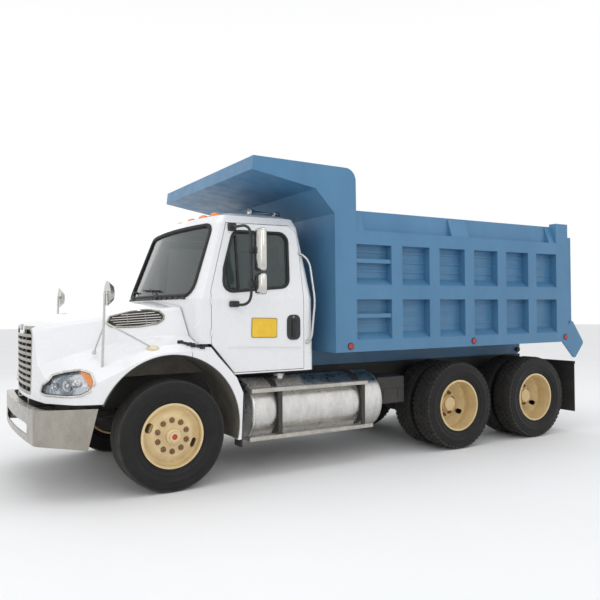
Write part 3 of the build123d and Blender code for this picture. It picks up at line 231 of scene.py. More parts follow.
def from_bmesh(name, shape, look, body, flat=35.0):
    """Turns a bmesh into one piece of a body."""
    bmesh.ops.recalc_face_normals(shape, faces=shape.faces)
    mesh = bpy.data.meshes.new(name)
    shape.to_mesh(mesh)
    shape.free()
    return placed(name, mesh, look, body, flat)


def tube(name, points, radius, look, body, closed=False, smooth=False):
    """A round bar through points, with closed ends."""
    line = bpy.data.curves.new(name, "CURVE")
    line.dimensions = "3D"
    line.bevel_depth = radius
    line.bevel_resolution = 3
    line.use_fill_caps = True
    spline = line.splines.new("NURBS" if smooth else "POLY")
    spline.points.add(len(points) - 1)
    for point, place in zip(spline.points, points):
        point.co = (*place, 1)
    if smooth:
        spline.order_u = 3
        spline.use_endpoint_u = not closed
        spline.resolution_u = 6
    spline.use_cyclic_u = closed
    holder = bpy.data.objects.new(name, line)
    mesh = bpy.data.meshes.new_from_object(holder)
    bpy.data.objects.remove(holder)
    mesh.name = name
    return placed(name, mesh, look, body, flat=50)


def block(shape, size, place, round_by=0.0, segments=2):
    """Adds a block to a bmesh, its edges rounded."""
    made = bmesh.ops.create_cube(shape, size=1, matrix=place @ Matrix.Diagonal((*size, 1)))
    if round_by:
        edges = list({e for v in made["verts"] for e in v.link_edges})
        bmesh.ops.bevel(shape, geom=edges, offset=round_by, offset_type="OFFSET", affect="EDGES",
                        segments=segments, profile=0.5, material=-1)
    return made


def bisected(shape, place, way):
    """Cuts a bmesh with a plane, keeps what lies behind it and gives the cut's edges."""
    cut = bmesh.ops.bisect_plane(shape, geom=shape.verts[:] + shape.edges[:] + shape.faces[:], plane_co=place,
                                 plane_no=way, clear_outer=True)
    return [e for e in cut["geom_cut"] if isinstance(e, bmesh.types.BMEdge)]


def between(low, high):
    """Size and place of a block between two corners in millimetres from the front axle."""
    a, b = at(*low), at(*high)
    size = Vector([abs(p - q) for p, q in zip(a, b)])
    return size, Matrix.Translation((a + b) / 2)


def rounded(points, radius, steps=5, longest=0.03):
    """A closed outline in two directions with its corners rounded and its long sides divided."""
    out = []
    for k, corner in enumerate(points):
        p = Vector(corner)
        a = Vector(points[k - 1]) - p
        b = Vector(points[(k + 1) % len(points)]) - p
        half = acos(max(-1, min(1, a.normalized().dot(b.normalized())))) / 2
        cut = min(radius / tan(half), 0.45 * a.length, 0.45 * b.length)
        start, end = p + a.normalized() * cut, p + b.normalized() * cut
        out += interpolate_bezier(start.to_3d(), p.lerp(start, 0.45).to_3d(), p.lerp(end, 0.45).to_3d(),
                                  end.to_3d(), steps)
    filled = []
    for k, p in enumerate(out):
        q = out[(k + 1) % len(out)]
        parts = max(1, int((q - p).length / longest))
        filled += [p.lerp(q, i / parts).to_2d() for i in range(parts)]
    return filled


depsgraph = bpy.context.evaluated_depsgraph_get()
surfaces = {}


def surface_of(*names):
    """What a ray meets on the named CAD nodes."""
    if names not in surfaces:
        surfaces[names] = [BVHTree.FromObject(nodes[n], depsgraph) for n in names]
    return surfaces[names]


# Tyres

side_profile = ((288.5, 105), (302, 107), (308, 119), (316, 124), (322, 121), (352, 133), (356, 136), (360, 133),
                (400, 139), (404, 141), (430, 138), (452, 134), (456, 136), (462, 133))


def tyre_shell(shape, y, crown, wheel_x):
    """Spins one tyre's section: both sidewalls from the table and the crown's points between."""
    left = [(r / 1000, w / 1000) for r, w in side_profile]
    section = left + crown + [(r, -w) for r, w in reversed(left)]
    points = [shape.verts.new((wheel_x, y + w, wheel_z + r)) for r, w in section]
    edges = [shape.edges.new(pair) for pair in zip(points, points[1:] + points[:1])]
    bmesh.ops.spin(shape, geom=points + edges, cent=(wheel_x, y, wheel_z), axis=(0, 1, 0), angle=2 * pi,
                   steps=96, use_merge=True)


def rib_crown():
    """The steered tyres' crown: straight grooves between five ribs, in radius and width."""
    high, low = 0.509, 0.497
    half = [(0.488, 0.128), (0.500, 0.124)]
    half += [(0.506, 0.118), (high - 0.001, 0.086), (low, 0.083), (low, 0.075), (high, 0.072), (high, 0.049),
             (low, 0.046), (low, 0.038), (high, 0.035), (high, 0.012), (low, 0.009), (low, 0.003)]
    return half + [(r, -w) for r, w in reversed(half)]


def lug_crown():
    """The drive tyres' crown between their lugs, in radius and width."""
    half = [(0.484, 0.129), (0.492, 0.120), (0.4965, 0.105), (0.4985, 0.050), (0.499, 0.004)]
    return half + [(r, -w) for r, w in reversed(half)]


# Lug rows of the drive tyres: middle of the row, width, length, share of a step that the row is turned by
lug_rows = ((104, 44, 42, 0.0), (60, 34, 50, 0.5), (20, 32, 46, 0.15), (-20, 32, 46, 0.65), (-60, 34, 50, 0.3),
            (-104, 44, 42, 0.8))
lugs_round = 54
shoulder_row = 90


def add_lugs(shape, y, wheel_x):
    """Adds the rows of lugs to one drive tyre, the shoulder's own ones sloping down its side."""
    for middle, width, length, shift in lug_rows:
        for i in range(lugs_round):
            turn = Matrix.Rotation(2 * pi * (i + shift) / lugs_round, 4, "Y")
            edge = abs(middle) > shoulder_row
            base = 0.491 if edge else 0.497
            top = 0.5065 if edge else 0.5095
            place = (Matrix.Translation((wheel_x, y + middle / 1000, wheel_z)) @ turn
                     @ Matrix.Translation((0, 0, (base + top) / 2)))
            size = (length / 1000, width / 1000, top - base)
            made = bmesh.ops.create_cube(shape, size=1, matrix=place @ Matrix.Diagonal((*size, 1)))
            if edge:
                for v in made["verts"]:
                    outward = (v.co.y - y) * (1 if middle > 0 else -1)
                    if outward > abs(middle) / 1000:
                        v.co.y += 0.005 if middle > 0 else -0.005
                        centre = Vector((wheel_x, v.co.y, wheel_z))
                        v.co = centre + (v.co - centre) * (0.972 if (v.co - centre).length < 0.5 else 0.985)


def tyre_piece(name, node, body, wheel_x, rows, lugged):
    """The dressed tyres that take a node's place, one at each Y in rows."""
    shape = bmesh.new()
    for y in rows:
        tyre_shell(shape, y, lug_crown() if lugged else rib_crown(), wheel_x)
        if lugged:
            add_lugs(shape, y, wheel_x)
    bmesh.ops.recalc_face_normals(shape, faces=shape.faces)
    for face in shape.faces:
        middle = face.calc_center_median()
        reach = Vector((middle.x - wheel_x, middle.z - wheel_z)).length
        face.material_index = 1 if reach > 0.486 else 0
    mesh = bpy.data.meshes.new(name)
    shape.to_mesh(mesh)
    shape.free()
    piece = placed(name, mesh, rubber_side, body, flat=32)
    piece.data.materials.append(rubber_tread)
    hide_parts(node)


for side, sign in sides:
    tyre_piece(f"front_tyre_{side}_tread", f"front_tyre_{side}", f"front_wheel_{side}", axle_x,
               [sign * front_wheel_y], False)
    for axle, wheel_x in (("mid", mid_axle_x), ("rear", rear_axle_x)):
        tyre_piece(f"{axle}_tyres_{side}_tread", f"{axle}_tyres_{side}", f"{axle}_wheels_{side}", wheel_x,
                   [sign * outer_wheel_y, sign * (outer_wheel_y - dual_spacing)], True)


# Wheel nuts, hub caps

def wheel_trim(name, body, wheel_x, sign, face_y, hub_y, steered):
    """The rusty nuts and studs of one hub."""
    shape = bmesh.new()
    for i in range(10):
        angle = 2 * pi * (i + 0.5) / 10
        place = (Matrix.Translation((wheel_x + 0.1425 * cos(angle), sign * face_y, wheel_z + 0.1425 * sin(angle)))
                 @ Matrix.Rotation(-sign * pi / 2, 4, "X"))
        bmesh.ops.create_cone(shape, cap_ends=True, segments=18, radius1=0.027, radius2=0.0255, depth=0.006,
                              matrix=place @ Matrix.Translation((0, 0, 0.002)))
        bmesh.ops.create_cone(shape, cap_ends=True, segments=6, radius1=0.0205, radius2=0.0195, depth=0.026,
                              matrix=place @ Matrix.Translation((0, 0, 0.014)))
        bmesh.ops.create_cone(shape, cap_ends=True, segments=12, radius1=0.011, radius2=0.010, depth=0.016,
                              matrix=place @ Matrix.Translation((0, 0, 0.033)))
    from_bmesh(name + "_nuts", shape, rust, body)
    shape = bmesh.new()
    count = 8
    for i in range(count):
        angle = 2 * pi * i / count
        radius = 0.062 if steered else 0.070
        place = (Matrix.Translation((wheel_x + radius * cos(angle), sign * hub_y, wheel_z + radius * sin(angle)))
                 @ Matrix.Rotation(-sign * pi / 2, 4, "X"))
        bmesh.ops.create_cone(shape, cap_ends=True, segments=6, radius1=0.009, radius2=0.0085, depth=0.012,
                              matrix=place)
    from_bmesh(name + "_hub_bolts", shape, cream_paint, body)


for side, sign in sides:
    wheel_trim(f"front_{side}", f"front_wheel_{side}", axle_x, sign, front_wheel_y + 0.092, front_wheel_y + 0.114,
               True)
    shape = bmesh.new()
    cap = (Matrix.Translation((axle_x, sign * (front_wheel_y + 0.1685), wheel_z))
           @ Matrix.Rotation(-sign * pi / 2, 4, "X"))
    bmesh.ops.create_cone(shape, cap_ends=True, segments=32, radius1=0.026, radius2=0.024, depth=0.004, matrix=cap)
    from_bmesh(f"front_{side}_cap_centre", shape, red_lens, f"front_wheel_{side}")
    for axle, wheel_x in (("mid", mid_axle_x), ("rear", rear_axle_x)):
        wheel_trim(f"{axle}_{side}", f"{axle}_wheels_{side}", wheel_x, sign,
                   outer_wheel_y - 0.1675 + 0.0125, outer_wheel_y - 0.1675 + 0.104, False)



# Surfaces of the cab, in millimetres from the front axle

belt_z = 1765
glass_rise = 750
belt_half_width = 1096
side_lean = 138


def door_y(z):
    """Half width of the cab's side at a height."""
    return belt_half_width - max(0, z - belt_z) * side_lean / glass_rise


def screen_x(y, z):
    """The windshield's bowed face."""
    t = (z - belt_z) / glass_rise
    nose, corner, half = -135 - 270 * t, -262 - 268 * t, belt_half_width - side_lean * t
    bow = nose - corner
    radius = (half * half + bow * bow) / (2 * bow)
    return nose - radius + (radius * radius - y * y) ** 0.5


def back_x(z):
    """The cab's rear wall, leaning forward above the belt."""
    return -1545 + (z - belt_z) * 93 / glass_rise


def bent(points, radius, steps=5):
    """An open path through points in space, with its corners rounded."""
    path = [Vector(points[0])]
    for k in range(1, len(points) - 1):
        p, a, b = Vector(points[k]), Vector(points[k - 1]), Vector(points[k + 1])
        start = p + (a - p).normalized() * min(radius, 0.48 * (a - p).length)
        end = p + (b - p).normalized() * min(radius, 0.48 * (b - p).length)
        path += interpolate_bezier(start, p.lerp(start, 0.45), p.lerp(end, 0.45), end, steps)
    return path + [Vector(points[-1])]


def plate(name, outline, place, thickness, look, body, round_by=0.0):
    """A flat piece: an outline in two directions, laid on a place and thickened along its Z."""
    shape = bmesh.new()
    face = shape.faces.new([shape.verts.new((x, y, 0)) for x, y in outline])
    made = bmesh.ops.extrude_face_region(shape, geom=[face])
    top = [v for v in made["geom"] if isinstance(v, bmesh.types.BMVert)]
    bmesh.ops.translate(shape, verts=top, vec=(0, 0, thickness))
    if round_by:
        shape.edges.ensure_lookup_table()
        rim = [e for e in shape.edges if all(v.co.z > thickness / 2 for v in e.verts)]
        bmesh.ops.bevel(shape, geom=rim, offset=round_by, offset_type="OFFSET", affect="EDGES", segments=3,
                        profile=0.5, material=-1)
    bmesh.ops.transform(shape, matrix=place, verts=shape.verts)
    return from_bmesh(name, shape, look, body)


def facing(place, way, up=(0, 0, 1)):
    """A place whose Z looks along a direction and whose Y is as near up as it goes."""
    z = Vector(way).normalized()
    x = Vector(up).cross(z).normalized()
    return Matrix.Translation(place) @ Matrix((x, z.cross(x), z)).transposed().to_4x4()


def meet_side(x, z, sign, names, out=0.0):
    """Where a side ray meets the named nodes, and the surface's direction there."""
    start, way = at(x, 1700 * sign, z), Vector((0, -sign, 0))
    hits = [tree.ray_cast(start, way)[:2] for tree in surface_of(*names)]
    place, normal = min((h for h in hits if h[0] is not None), key=lambda h: (h[0] - start).length)
    if normal.dot(way) > 0:
        normal = -normal
    return place + normal * out, normal


# Brake dust shields inside the steered wheels, as wide as the wheel's barrel: a black disc that is partly the
# brake drum and partly painted shade over the wheel's cream inside

for side, sign in sides:
    shape = bmesh.new()
    bmesh.ops.create_cone(shape, cap_ends=True, segments=64, radius1=0.262, radius2=0.262, depth=0.003,
                          matrix=facing((axle_x, sign * 0.921, wheel_z), (0, sign, 0)))
    from_bmesh(f"brake_drum_and_painted_shade_{side}", shape, black_steel, f"knuckle_{side}")

# Window rubbers, mirrors, door fittings

door_window = [(-560, 2060), (-532, 1826), (-1262, 1884), (-1305, 2442), (-690, 2436)]
windshield = [(-990, 1795), (990, 1795), (895, 2503), (-895, 2503)]
rear_window = [(-560, 1900), (560, 1900), (540, 2360), (-540, 2360)]
loop = [at(screen_x(y, z) + 2, y, z) for y, z in rounded(windshield, 110, longest=40)]
tube("windshield_rubber", loop, 0.019, black_rubber, "chassis", closed=True)
loop = [at(back_x(z) - 2, y, z) for y, z in rounded(rear_window, 65, longest=60)]
tube("rear_window_rubber", loop, 0.015, black_rubber, "chassis", closed=True)

mirror_path = ((-679, 960, 2475), (-690, 1258, 2462), (-725, 1300, 2410), (-725, 1300, 1760), (-690, 1250, 1700),
               (-640, 1108, 1706))
for side, sign in sides:
    body = f"door_{side}"
    loop = [at(x, sign * (door_y(z) + 1), z) for x, z in rounded(door_window, 90, longest=30)]
    tube(f"door_window_rubber_{side}", loop, 0.0145, black_rubber, body, closed=True)
    bar = [at(-700 - (z - 1850) * 0.03, sign * (door_y(z) - 12), z) for z in range(1850, 2442, 60)]
    tube(f"door_window_bar_{side}", bar, 0.012, black_rubber, body)

    path = bent([at(x, sign * y, z) for x, y, z in mirror_path], 0.06)
    arm = tube(f"mirror_arm_{side}", path, 0.014, black_plastic, body)
    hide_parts(f"mirror_{side}")
    shape = bmesh.new()
    for low, high in (((-724, 958, 2435), (-634, 992, 2515)), ((-690, 1094, 1682), (-585, 1122, 1742)),
                      ((-760, 1282, 2187), (-700, 1322, 2257)), ((-760, 1282, 1863), (-700, 1322, 1933))):
        size, place = between((low[0], sign * low[1], low[2]), (high[0], sign * high[1], high[2]))
        block(shape, size, place, 0.012, 3)
    from_bmesh(f"mirror_brackets_{side}", shape, black_plastic, body)
    for part, low, high in (("upper", 2018, 2426), ("lower", 1796, 2000)):
        shape = bmesh.new()
        size, place = between((-815, sign * 1304, low), (-745, sign * 1477, high))
        block(shape, size, place, 0.034, 5)
        bisected(shape, at(-800, 0, 0), (-1, 0, 0))
        bmesh.ops.holes_fill(shape, edges=[e for e in shape.edges if e.is_boundary])
        from_bmesh(f"mirror_shell_{part}_{side}", shape, chrome, body)
        outline = rounded([(-0.078, -(high - low) / 2000 + 0.012), (0.078, -(high - low) / 2000 + 0.012),
                           (0.078, (high - low) / 2000 - 0.012), (-0.078, (high - low) / 2000 - 0.012)], 0.025,
                          longest=0.2)
        place = facing(at(-799, sign * 1390.5, (low + high) / 2), (-1, 0, 0))
        plate(f"mirror_rim_{part}_{side}", outline, place, 0.006, black_plastic, body, 0.002)
        glass = [(x * 0.93, y * 0.96) for x, y in outline]
        plate(f"mirror_glass_{part}_{side}", glass, place @ Matrix.Translation((0, 0, 0.0055)), 0.0015,
              mirror_glass, body)

    # Door handle in its recess, key hole, and the bare sign
    outline = rounded([(-0.078, -0.128), (0.078, -0.128), (0.078, 0.128), (-0.078, 0.128)], 0.055, longest=0.2)
    place = facing(at(-1305, sign * 1094, 1473), (0, sign, 0))
    plate(f"door_handle_rim_{side}", outline, place, 0.007, black_plastic, body, 0.003)
    shape = bmesh.new()
    block(shape, Vector((0.036, 0.020, 0.165)), Matrix.Translation(at(-1300, sign * 1108, 1455)), 0.008, 3)
    block(shape, Vector((0.050, 0.010, 0.030)), Matrix.Translation(at(-1300, sign * 1102, 1545)), 0.004, 2)
    from_bmesh(f"door_handle_{side}", shape, black_rubber, body)
    shape = bmesh.new()
    bmesh.ops.create_cone(shape, cap_ends=True, segments=24, radius1=0.011, radius2=0.010, depth=0.006,
                          matrix=facing(at(-1300, sign * 1103, 1578), (0, sign, 0)))
    from_bmesh(f"door_lock_{side}", shape, dull_chrome, body)
    outline = rounded([(-0.1425, -0.0975), (0.1425, -0.0975), (0.1425, 0.0975), (-0.1425, 0.0975)], 0.016,
                      longest=0.3)
    place = facing(at(-970, sign * 1096, 1475), (0, sign, 0)) @ Matrix.Rotation(radians(-1.5 * sign), 4, "Z")
    plate(f"door_sign_border_{side}", outline, place, 0.0016, sign_border, body)
    inner = [(x * 0.965, y * 0.95) for x, y in outline]
    plate(f"door_sign_{side}", inner, place @ Matrix.Translation((0, 0, 0.0012)), 0.0010, sign_yellow, body)

    # Pressed crease along the door's lower part
    crease = [at(x, sign * 1097, 1262 + 30 * sin((x + 1400) / 900 * pi / 2)) for x in range(-1390, -560, 90)]
    tube(f"door_crease_{side}", crease, 0.0035, white_paint, body)

# Wipers and the cowl under the windshield

shape = bmesh.new()
for y in range(-840, 841, 120):
    size, place = between((screen_x(y, 1772) - 4, y - 58, 1762), (screen_x(y, 1772) + 14, y + 58, 1786))
    block(shape, size, place, 0.004, 1)
from_bmesh("cowl_strip", shape, black_plastic, "chassis")
for name, pivot, tip, end in (("near", 300, 20, -250), ("far", -560, -800, -230)):
    foot = at(screen_x(pivot, 1785) + 20, pivot, 1785)
    reach = at(screen_x(tip, 1880) + 16, tip, 1880)
    tube(f"wiper_arm_{name}", [foot, foot.lerp(reach, 0.5) + Vector((0.012, 0, 0)), reach], 0.007, black_steel,
         "chassis")
    low, high = tip + 270, tip - 290
    blade = [at(screen_x(y, 1868 + (y - tip) * -0.03) + 9, y, 1868 + (y - tip) * -0.03)
             for y in range(min(low, high), max(low, high) + 1, 70)]
    tube(f"wiper_blade_{name}", blade, 0.008, black_rubber, "chassis")
    shape = bmesh.new()
    bmesh.ops.create_uvsphere(shape, u_segments=16, v_segments=10, radius=0.022,
                              matrix=Matrix.Translation(foot))
    from_bmesh(f"wiper_pivot_{name}", shape, black_plastic, "chassis")

# Grab rails on the cab's rear corners

rail_path = ((-1430, 1006, 2238), (-1452, 1046, 2221), (-1517, 1072, 2150), (-1546, 1128, 1745),
             (-1500, 1128, 1350), (-1470, 1092, 1318))
for side, sign in sides:
    path = bent([at(x, sign * y, z) for x, y, z in rail_path], 0.07)
    tube(f"grab_rail_{side}", path, 0.012, stainless, "chassis")
    shape = bmesh.new()
    for x, y, z, way in ((-1432, 1010, 2236, (0, 1, 0.2)), (-1472, 1098, 1320, (0, 1, 0))):
        bmesh.ops.create_cone(shape, cap_ends=True, segments=20, radius1=0.028, radius2=0.022, depth=0.010,
                              matrix=facing(at(x, sign * y, z), (way[0], sign * way[1], way[2])))
    from_bmesh(f"grab_rail_feet_{side}", shape, stainless, "chassis")

# Air horn on the roof

# Its bell and body: distance back along the axis, radius
profile = ((0.0, 0.048), (0.004, 0.051), (0.008, 0.048), (0.03, 0.033), (0.08, 0.021), (0.16, 0.015),
           (0.30, 0.012), (0.305, 0.026), (0.350, 0.028), (0.372, 0.022), (0.372, 0.0))
shape = bmesh.new()
horn_axis = at(-1104, 500, 2712)
points = [shape.verts.new(horn_axis + Vector((-along, 0, radius))) for along, radius in profile]
edges = [shape.edges.new(pair) for pair in zip(points, points[1:])]
bmesh.ops.spin(shape, geom=points + edges, cent=horn_axis, axis=(1, 0, 0), angle=2 * pi, steps=32, use_merge=True)
bmesh.ops.remove_doubles(shape, verts=shape.verts, dist=0.00001)
for x in (-1150, -1430):
    size, place = between((x - 12, 490, 2636), (x + 12, 510, 2712))
    block(shape, size, place, 0.003, 2)
from_bmesh("roof_horn", shape, chrome, "chassis")

# Hood: headlamps, grille, vents, lamps and latches

lamp_outline = [(1062, 924), (1050, 1015), (985, 1094), (900, 1121), (768, 1138), (704, 1114), (698, 1038),
                (735, 966), (800, 931), (900, 919)]
vent_outline = [(484, 1538), (446, 1602), (256, 1645), (110, 1662), (8, 1650), (-26, 1608), (-14, 1568),
                (40, 1532), (202, 1506), (332, 1502), (450, 1510)]


# Slats: rear end, front end, height at the rear, height at the front
vent_slats = ((45, 430, 1545, 1524), (8, 455, 1568, 1545), (0, 462, 1592, 1566), (12, 440, 1616, 1588),
              (50, 380, 1638, 1612))


def shrunk(name, node, depth, look, keep):
    """A copy of a node's skin moved inwards by a depth and cut to one end, for what shows inside a lens."""
    shape = bmesh.new()
    shape.from_mesh(nodes[node].data)
    bmesh.ops.remove_doubles(shape, verts=shape.verts, dist=0.0001)
    shape.normal_update()
    moves = [(v, v.normal.copy()) for v in shape.verts]
    for v, normal in moves:
        v.co -= normal * depth
    place, way = keep
    rim = bisected(shape, place, way)
    bmesh.ops.holes_fill(shape, edges=rim)
    return from_bmesh(name, shape, look, "hood", flat=25)


shrunk("headlamp_amber", "headlamps", 0.006, amber_lens, (at(745, 0, 1030), (1, 0, -0.35)))
shrunk("headlamp_back", "headlamps", 0.019, lamp_silver, (at(731, 0, 1030), (-1, 0, 0.35)))
for side, sign in sides:
    loop = [meet_side(x, z, sign, ("hood", "headlamps"), 0.003)[0]
            for x, z in rounded(lamp_outline, 22, longest=22)]
    tube(f"headlamp_bezel_{side}", loop, 0.011, chrome, "hood", closed=True)
    shape = bmesh.new()
    bulbs = bmesh.new()
    for x, z, size in ((985, 1000, 0.036), (905, 1012, 0.050), (826, 1040, 0.040)):
        place, normal = meet_side(x, z, sign, ("headlamps",), -0.016)
        seat = facing(place, normal)
        bmesh.ops.create_cone(shape, cap_ends=False, segments=32, radius1=size * 0.45, radius2=size, depth=0.018,
                              matrix=seat)
        bmesh.ops.create_uvsphere(bulbs, u_segments=16, v_segments=10, radius=size * 0.36,
                                  matrix=seat @ Matrix.Translation((0, 0, -0.004)))
    from_bmesh(f"headlamp_bowls_{side}", shape, chrome, "hood")
    from_bmesh(f"headlamp_bulbs_{side}", bulbs, mirror_glass, "hood")

    # Vent frame, slats and posts
    vent = ("hood", "hood_vents")
    loop = [meet_side(x, z, sign, vent, 0.002)[0] for x, z in rounded(vent_outline, 14, longest=25)]
    tube(f"vent_frame_{side}", loop, 0.0095, dull_chrome, "hood", closed=True)
    for k, (low_x, high_x, z0, z1) in enumerate(vent_slats):
        slat = [meet_side(x, z0 + (z1 - z0) * (x - low_x) / (high_x - low_x), sign, vent, 0.001)[0]
                for x in range(low_x, high_x, 30)]
        tube(f"vent_slat_{k}_{side}", slat, 0.0042, chrome, "hood")
    for k, x in enumerate((140, 300)):
        post = [meet_side(x, z, sign, vent, 0.003)[0] for z in range(1525, 1640 - k * 14, 20)]
        tube(f"vent_post_{k}_{side}", post, 0.0050, dull_chrome, "hood")

    # Marker lamp on the fender and the latch behind it
    place, normal = meet_side(171, 1314, sign, ("hood",), 0.0)
    shape = bmesh.new()
    bmesh.ops.create_uvsphere(shape, u_segments=28, v_segments=14, radius=1,
                              matrix=facing(place, normal) @ Matrix.Diagonal((0.052, 0.029, 0.014, 1)))
    from_bmesh(f"fender_lamp_{side}", shape, cream_lens, "hood")
    loop = [facing(place, normal) @ Vector((0.054 * cos(a * pi / 12), 0.031 * sin(a * pi / 12), 0.001))
            for a in range(24)]
    tube(f"fender_lamp_rim_{side}", loop, 0.004, cream_lens, "hood", closed=True)
    front, _ = meet_side(-95, 1352, sign, ("hood",), 0.012)
    middle, _ = meet_side(-172, 1332, sign, ("hood",), 0.014)
    shape = bmesh.new()
    for point in (front, middle):
        block(shape, Vector((0.055, 0.022, 0.030)), Matrix.Translation(point), 0.006, 2)
    from_bmesh(f"latch_body_{side}", shape, black_rubber, "hood")
    tube(f"latch_strap_{side}", [front, middle], 0.012, black_rubber, "hood")
    rear, _ = meet_side(-215, 1318, sign, ("quarter_fenders", "cab_shell"), 0.014)
    hook, _ = meet_side(-300, 1296, sign, ("quarter_fenders", "cab_shell"), 0.012)
    shape = bmesh.new()
    block(shape, Vector((0.040, 0.024, 0.040)), Matrix.Translation(rear), 0.006, 2)
    block(shape, Vector((0.050, 0.018, 0.026)), Matrix.Translation(hook), 0.006, 2)
    from_bmesh(f"latch_hook_{side}", shape, black_rubber, "chassis")
    tube(f"latch_catch_{side}", [rear, hook], 0.010, black_rubber, "chassis")

# Grille: dark mesh behind the bars, and the nose tab with its bare badge
shape = bmesh.new()
size, place = between((878, -448, 884), (886, 448, 1516))
block(shape, size, place)
from_bmesh("grille_mesh", shape, dark_mesh, "hood")
outline = rounded([(-0.150, 0.045), (-0.105, -0.055), (0.105, -0.055), (0.150, 0.045)], 0.02, longest=0.03)
plate("nose_tab", outline, facing(at(1104, 0, 1497), (1, 0, 0.12)), 0.014, white_paint, "hood", 0.004)
outline = rounded([(-0.062, -0.028), (0.062, -0.028), (0.062, 0.028), (-0.062, 0.028)], 0.016, longest=0.1)
plate("nose_badge", outline, facing(at(1118, 0, 1505), (1, 0, 0.12)), 0.0035, dull_chrome, "hood",
      0.0015)

# Bumper: a black plate behind the slot as painted shade inside it, and its two small lamps
shape = bmesh.new()
size, place = between((1060, -660, 545), (1072, 660, 690))
block(shape, size, place, 0.004, 1)
from_bmesh("bumper_slot_painted_shade", shape, black_steel, "chassis")
for side, sign in sides:
    shape = bmesh.new()
    size, place = between((1085, sign * 430, 590), (1140, sign * 560, 645))
    block(shape, size, place, 0.012, 3)
    from_bmesh(f"bumper_lamp_{side}", shape, cream_lens, "chassis")

# Arch liners: the sheet over the wheel and the panel above it, split where the hood opens

arch_radius = 0.666


def liner(name, sign, start, end, body):
    """A curved sheet under the arch from one angle to another."""
    shape = bmesh.new()
    centre = at(15, 0, 585)
    first = [shape.verts.new(centre + Vector((arch_radius * cos(start), sign * y, arch_radius * sin(start))))
             for y in (0.60, 0.80, 1.0, 1.172)]
    edges = [shape.edges.new(pair) for pair in zip(first, first[1:])]
    bmesh.ops.spin(shape, geom=first + edges, cent=centre, axis=(0, -1, 0), angle=end - start, steps=26)
    bmesh.ops.solidify(shape, geom=shape.faces[:], thickness=0.003)
    return from_bmesh(name, shape, liner_plastic, body, flat=50)


for side, sign in sides:
    liner(f"arch_liner_rear_{side}", sign, radians(108), radians(194), "chassis")
    liner(f"arch_liner_front_{side}", sign, radians(22), radians(106), "hood")
    for name, body, y, x, way in (("rear", "chassis", 702, -150, 1), ("front", "hood", 712, -181, -1)):
        half = bmesh.new()
        bmesh.ops.create_circle(half, cap_ends=True, segments=96, radius=arch_radius - 0.004,
                                matrix=facing(at(15, sign * y, 585), (0, sign, 0)))
        bisected(half, at(0, 0, 1034), (0, 0, -1))
        bisected(half, at(x, 0, 0), (way, 0, 0))
        bmesh.ops.solidify(half, geom=half.faces[:], thickness=0.004)
        from_bmesh(f"arch_panel_{name}_{side}", half, liner_plastic, body)
    shape = bmesh.new()
    size, place = between((-688, sign * 1010, 335), (-672, sign * 1168, 470))
    block(shape, size, place, 0.004, 1)
    from_bmesh(f"fender_flap_{side}", shape, flap_rubber, "chassis")

# Tank: tread plates on both planks, weld rings and cap ridges

# Planks: height, rear end, front end
planks = ((842, -2195, -799), (375, -2260, -773))
dot_step = 29
for side, sign in sides:
    shape = bmesh.new()
    for z, low_x, high_x in planks:
        size, place = between((low_x - 1.5, sign * 1046.5, z - 1.5), (high_x + 1.5, sign * 1153.5, z + 37.5))
        block(shape, size, place, 0.003, 1)
        for k in range(int((high_x - low_x) / dot_step) - 1):
            for row in range(3):
                dot = at(low_x + 30 + k * dot_step + (row % 2) * 14, sign * (1072 + row * 28), z + 38.5)
                bmesh.ops.create_cone(shape, cap_ends=True, segments=8, radius1=0.0075, radius2=0.0045,
                                      depth=0.003, matrix=Matrix.Translation(dot))
    from_bmesh(f"step_treads_{side}", shape, tread_plate, "chassis")
    shape = bmesh.new()
    for x in (-862, -2398):
        seam = [at(x, sign * 800 + 313.2 * cos(a * pi / 24), 645 + 313.2 * sin(a * pi / 24)) for a in range(48)]
        tube(f"tank_seam_{'front' if x > -1000 else 'rear'}_{side}", seam, 0.004, brushed_tank, "chassis",
             closed=True)
    cap = at(-1260, sign * 860, 978)
    bmesh.ops.create_cone(shape, cap_ends=True, segments=32, radius1=0.050, radius2=0.046, depth=0.026,
                          matrix=Matrix.Translation(cap))
    for k in range(16):
        angle = k * pi / 8
        size = Vector((0.010, 0.006, 0.024))
        place = Matrix.Translation(cap + Vector((0.049 * cos(angle), 0.049 * sin(angle), 0))) @ Matrix.Rotation(
            angle, 4, "Z")
        block(shape, size, place)
    from_bmesh(f"tank_cap_{side}", shape, stainless, "chassis")

# Black box: lid line, two latches
shape = bmesh.new()
for x in (-2740, -2530):
    size, place = between((x - 14, 996, 640), (x + 14, 1008, 735))
    block(shape, size, place, 0.004, 2)
size, place = between((-2822, 998, 744), (-2445, 1004, 752))
block(shape, size, place, 0.002, 1)
from_bmesh("box_latches", shape, black_steel, "chassis")

# Load floor plate, lamp rims along the bed, rear lamps

shape = bmesh.new()
size, place = between((-5448, -1095, 1345), (-1752, 1095, 1347))
block(shape, size, place)
from_bmesh("load_floor_plate", shape, worn_steel, "bed")
for side, sign in sides:
    for k, x in enumerate((-1926, -3717, -5390)):
        rim = [at(x + 33 * cos(a * pi / 12), sign * 1221, 1262.5 + 33 * sin(a * pi / 12)) for a in range(24)]
        tube(f"marker_rim_{k}_{side}", rim, 0.0055, black_rubber, "bed", closed=True)
    shape = bmesh.new()
    rims = bmesh.new()
    for y, z in ((285, 900), (205, 900)):
        seat = facing(at(-5424, sign * y, z - 5), (-1, 0, 0))
        bmesh.ops.create_cone(shape, cap_ends=True, segments=28, radius1=0.032, radius2=0.027, depth=0.012,
                              matrix=seat @ Matrix.Translation((0, 0, 0.008)))
        bmesh.ops.create_cone(rims, cap_ends=True, segments=28, radius1=0.037, radius2=0.036, depth=0.008,
                              matrix=seat @ Matrix.Translation((0, 0, 0.002)))
    from_bmesh(f"tail_lamps_{side}", shape, red_lens, "chassis")
    from_bmesh(f"tail_lamp_rims_{side}", rims, black_rubber, "chassis")

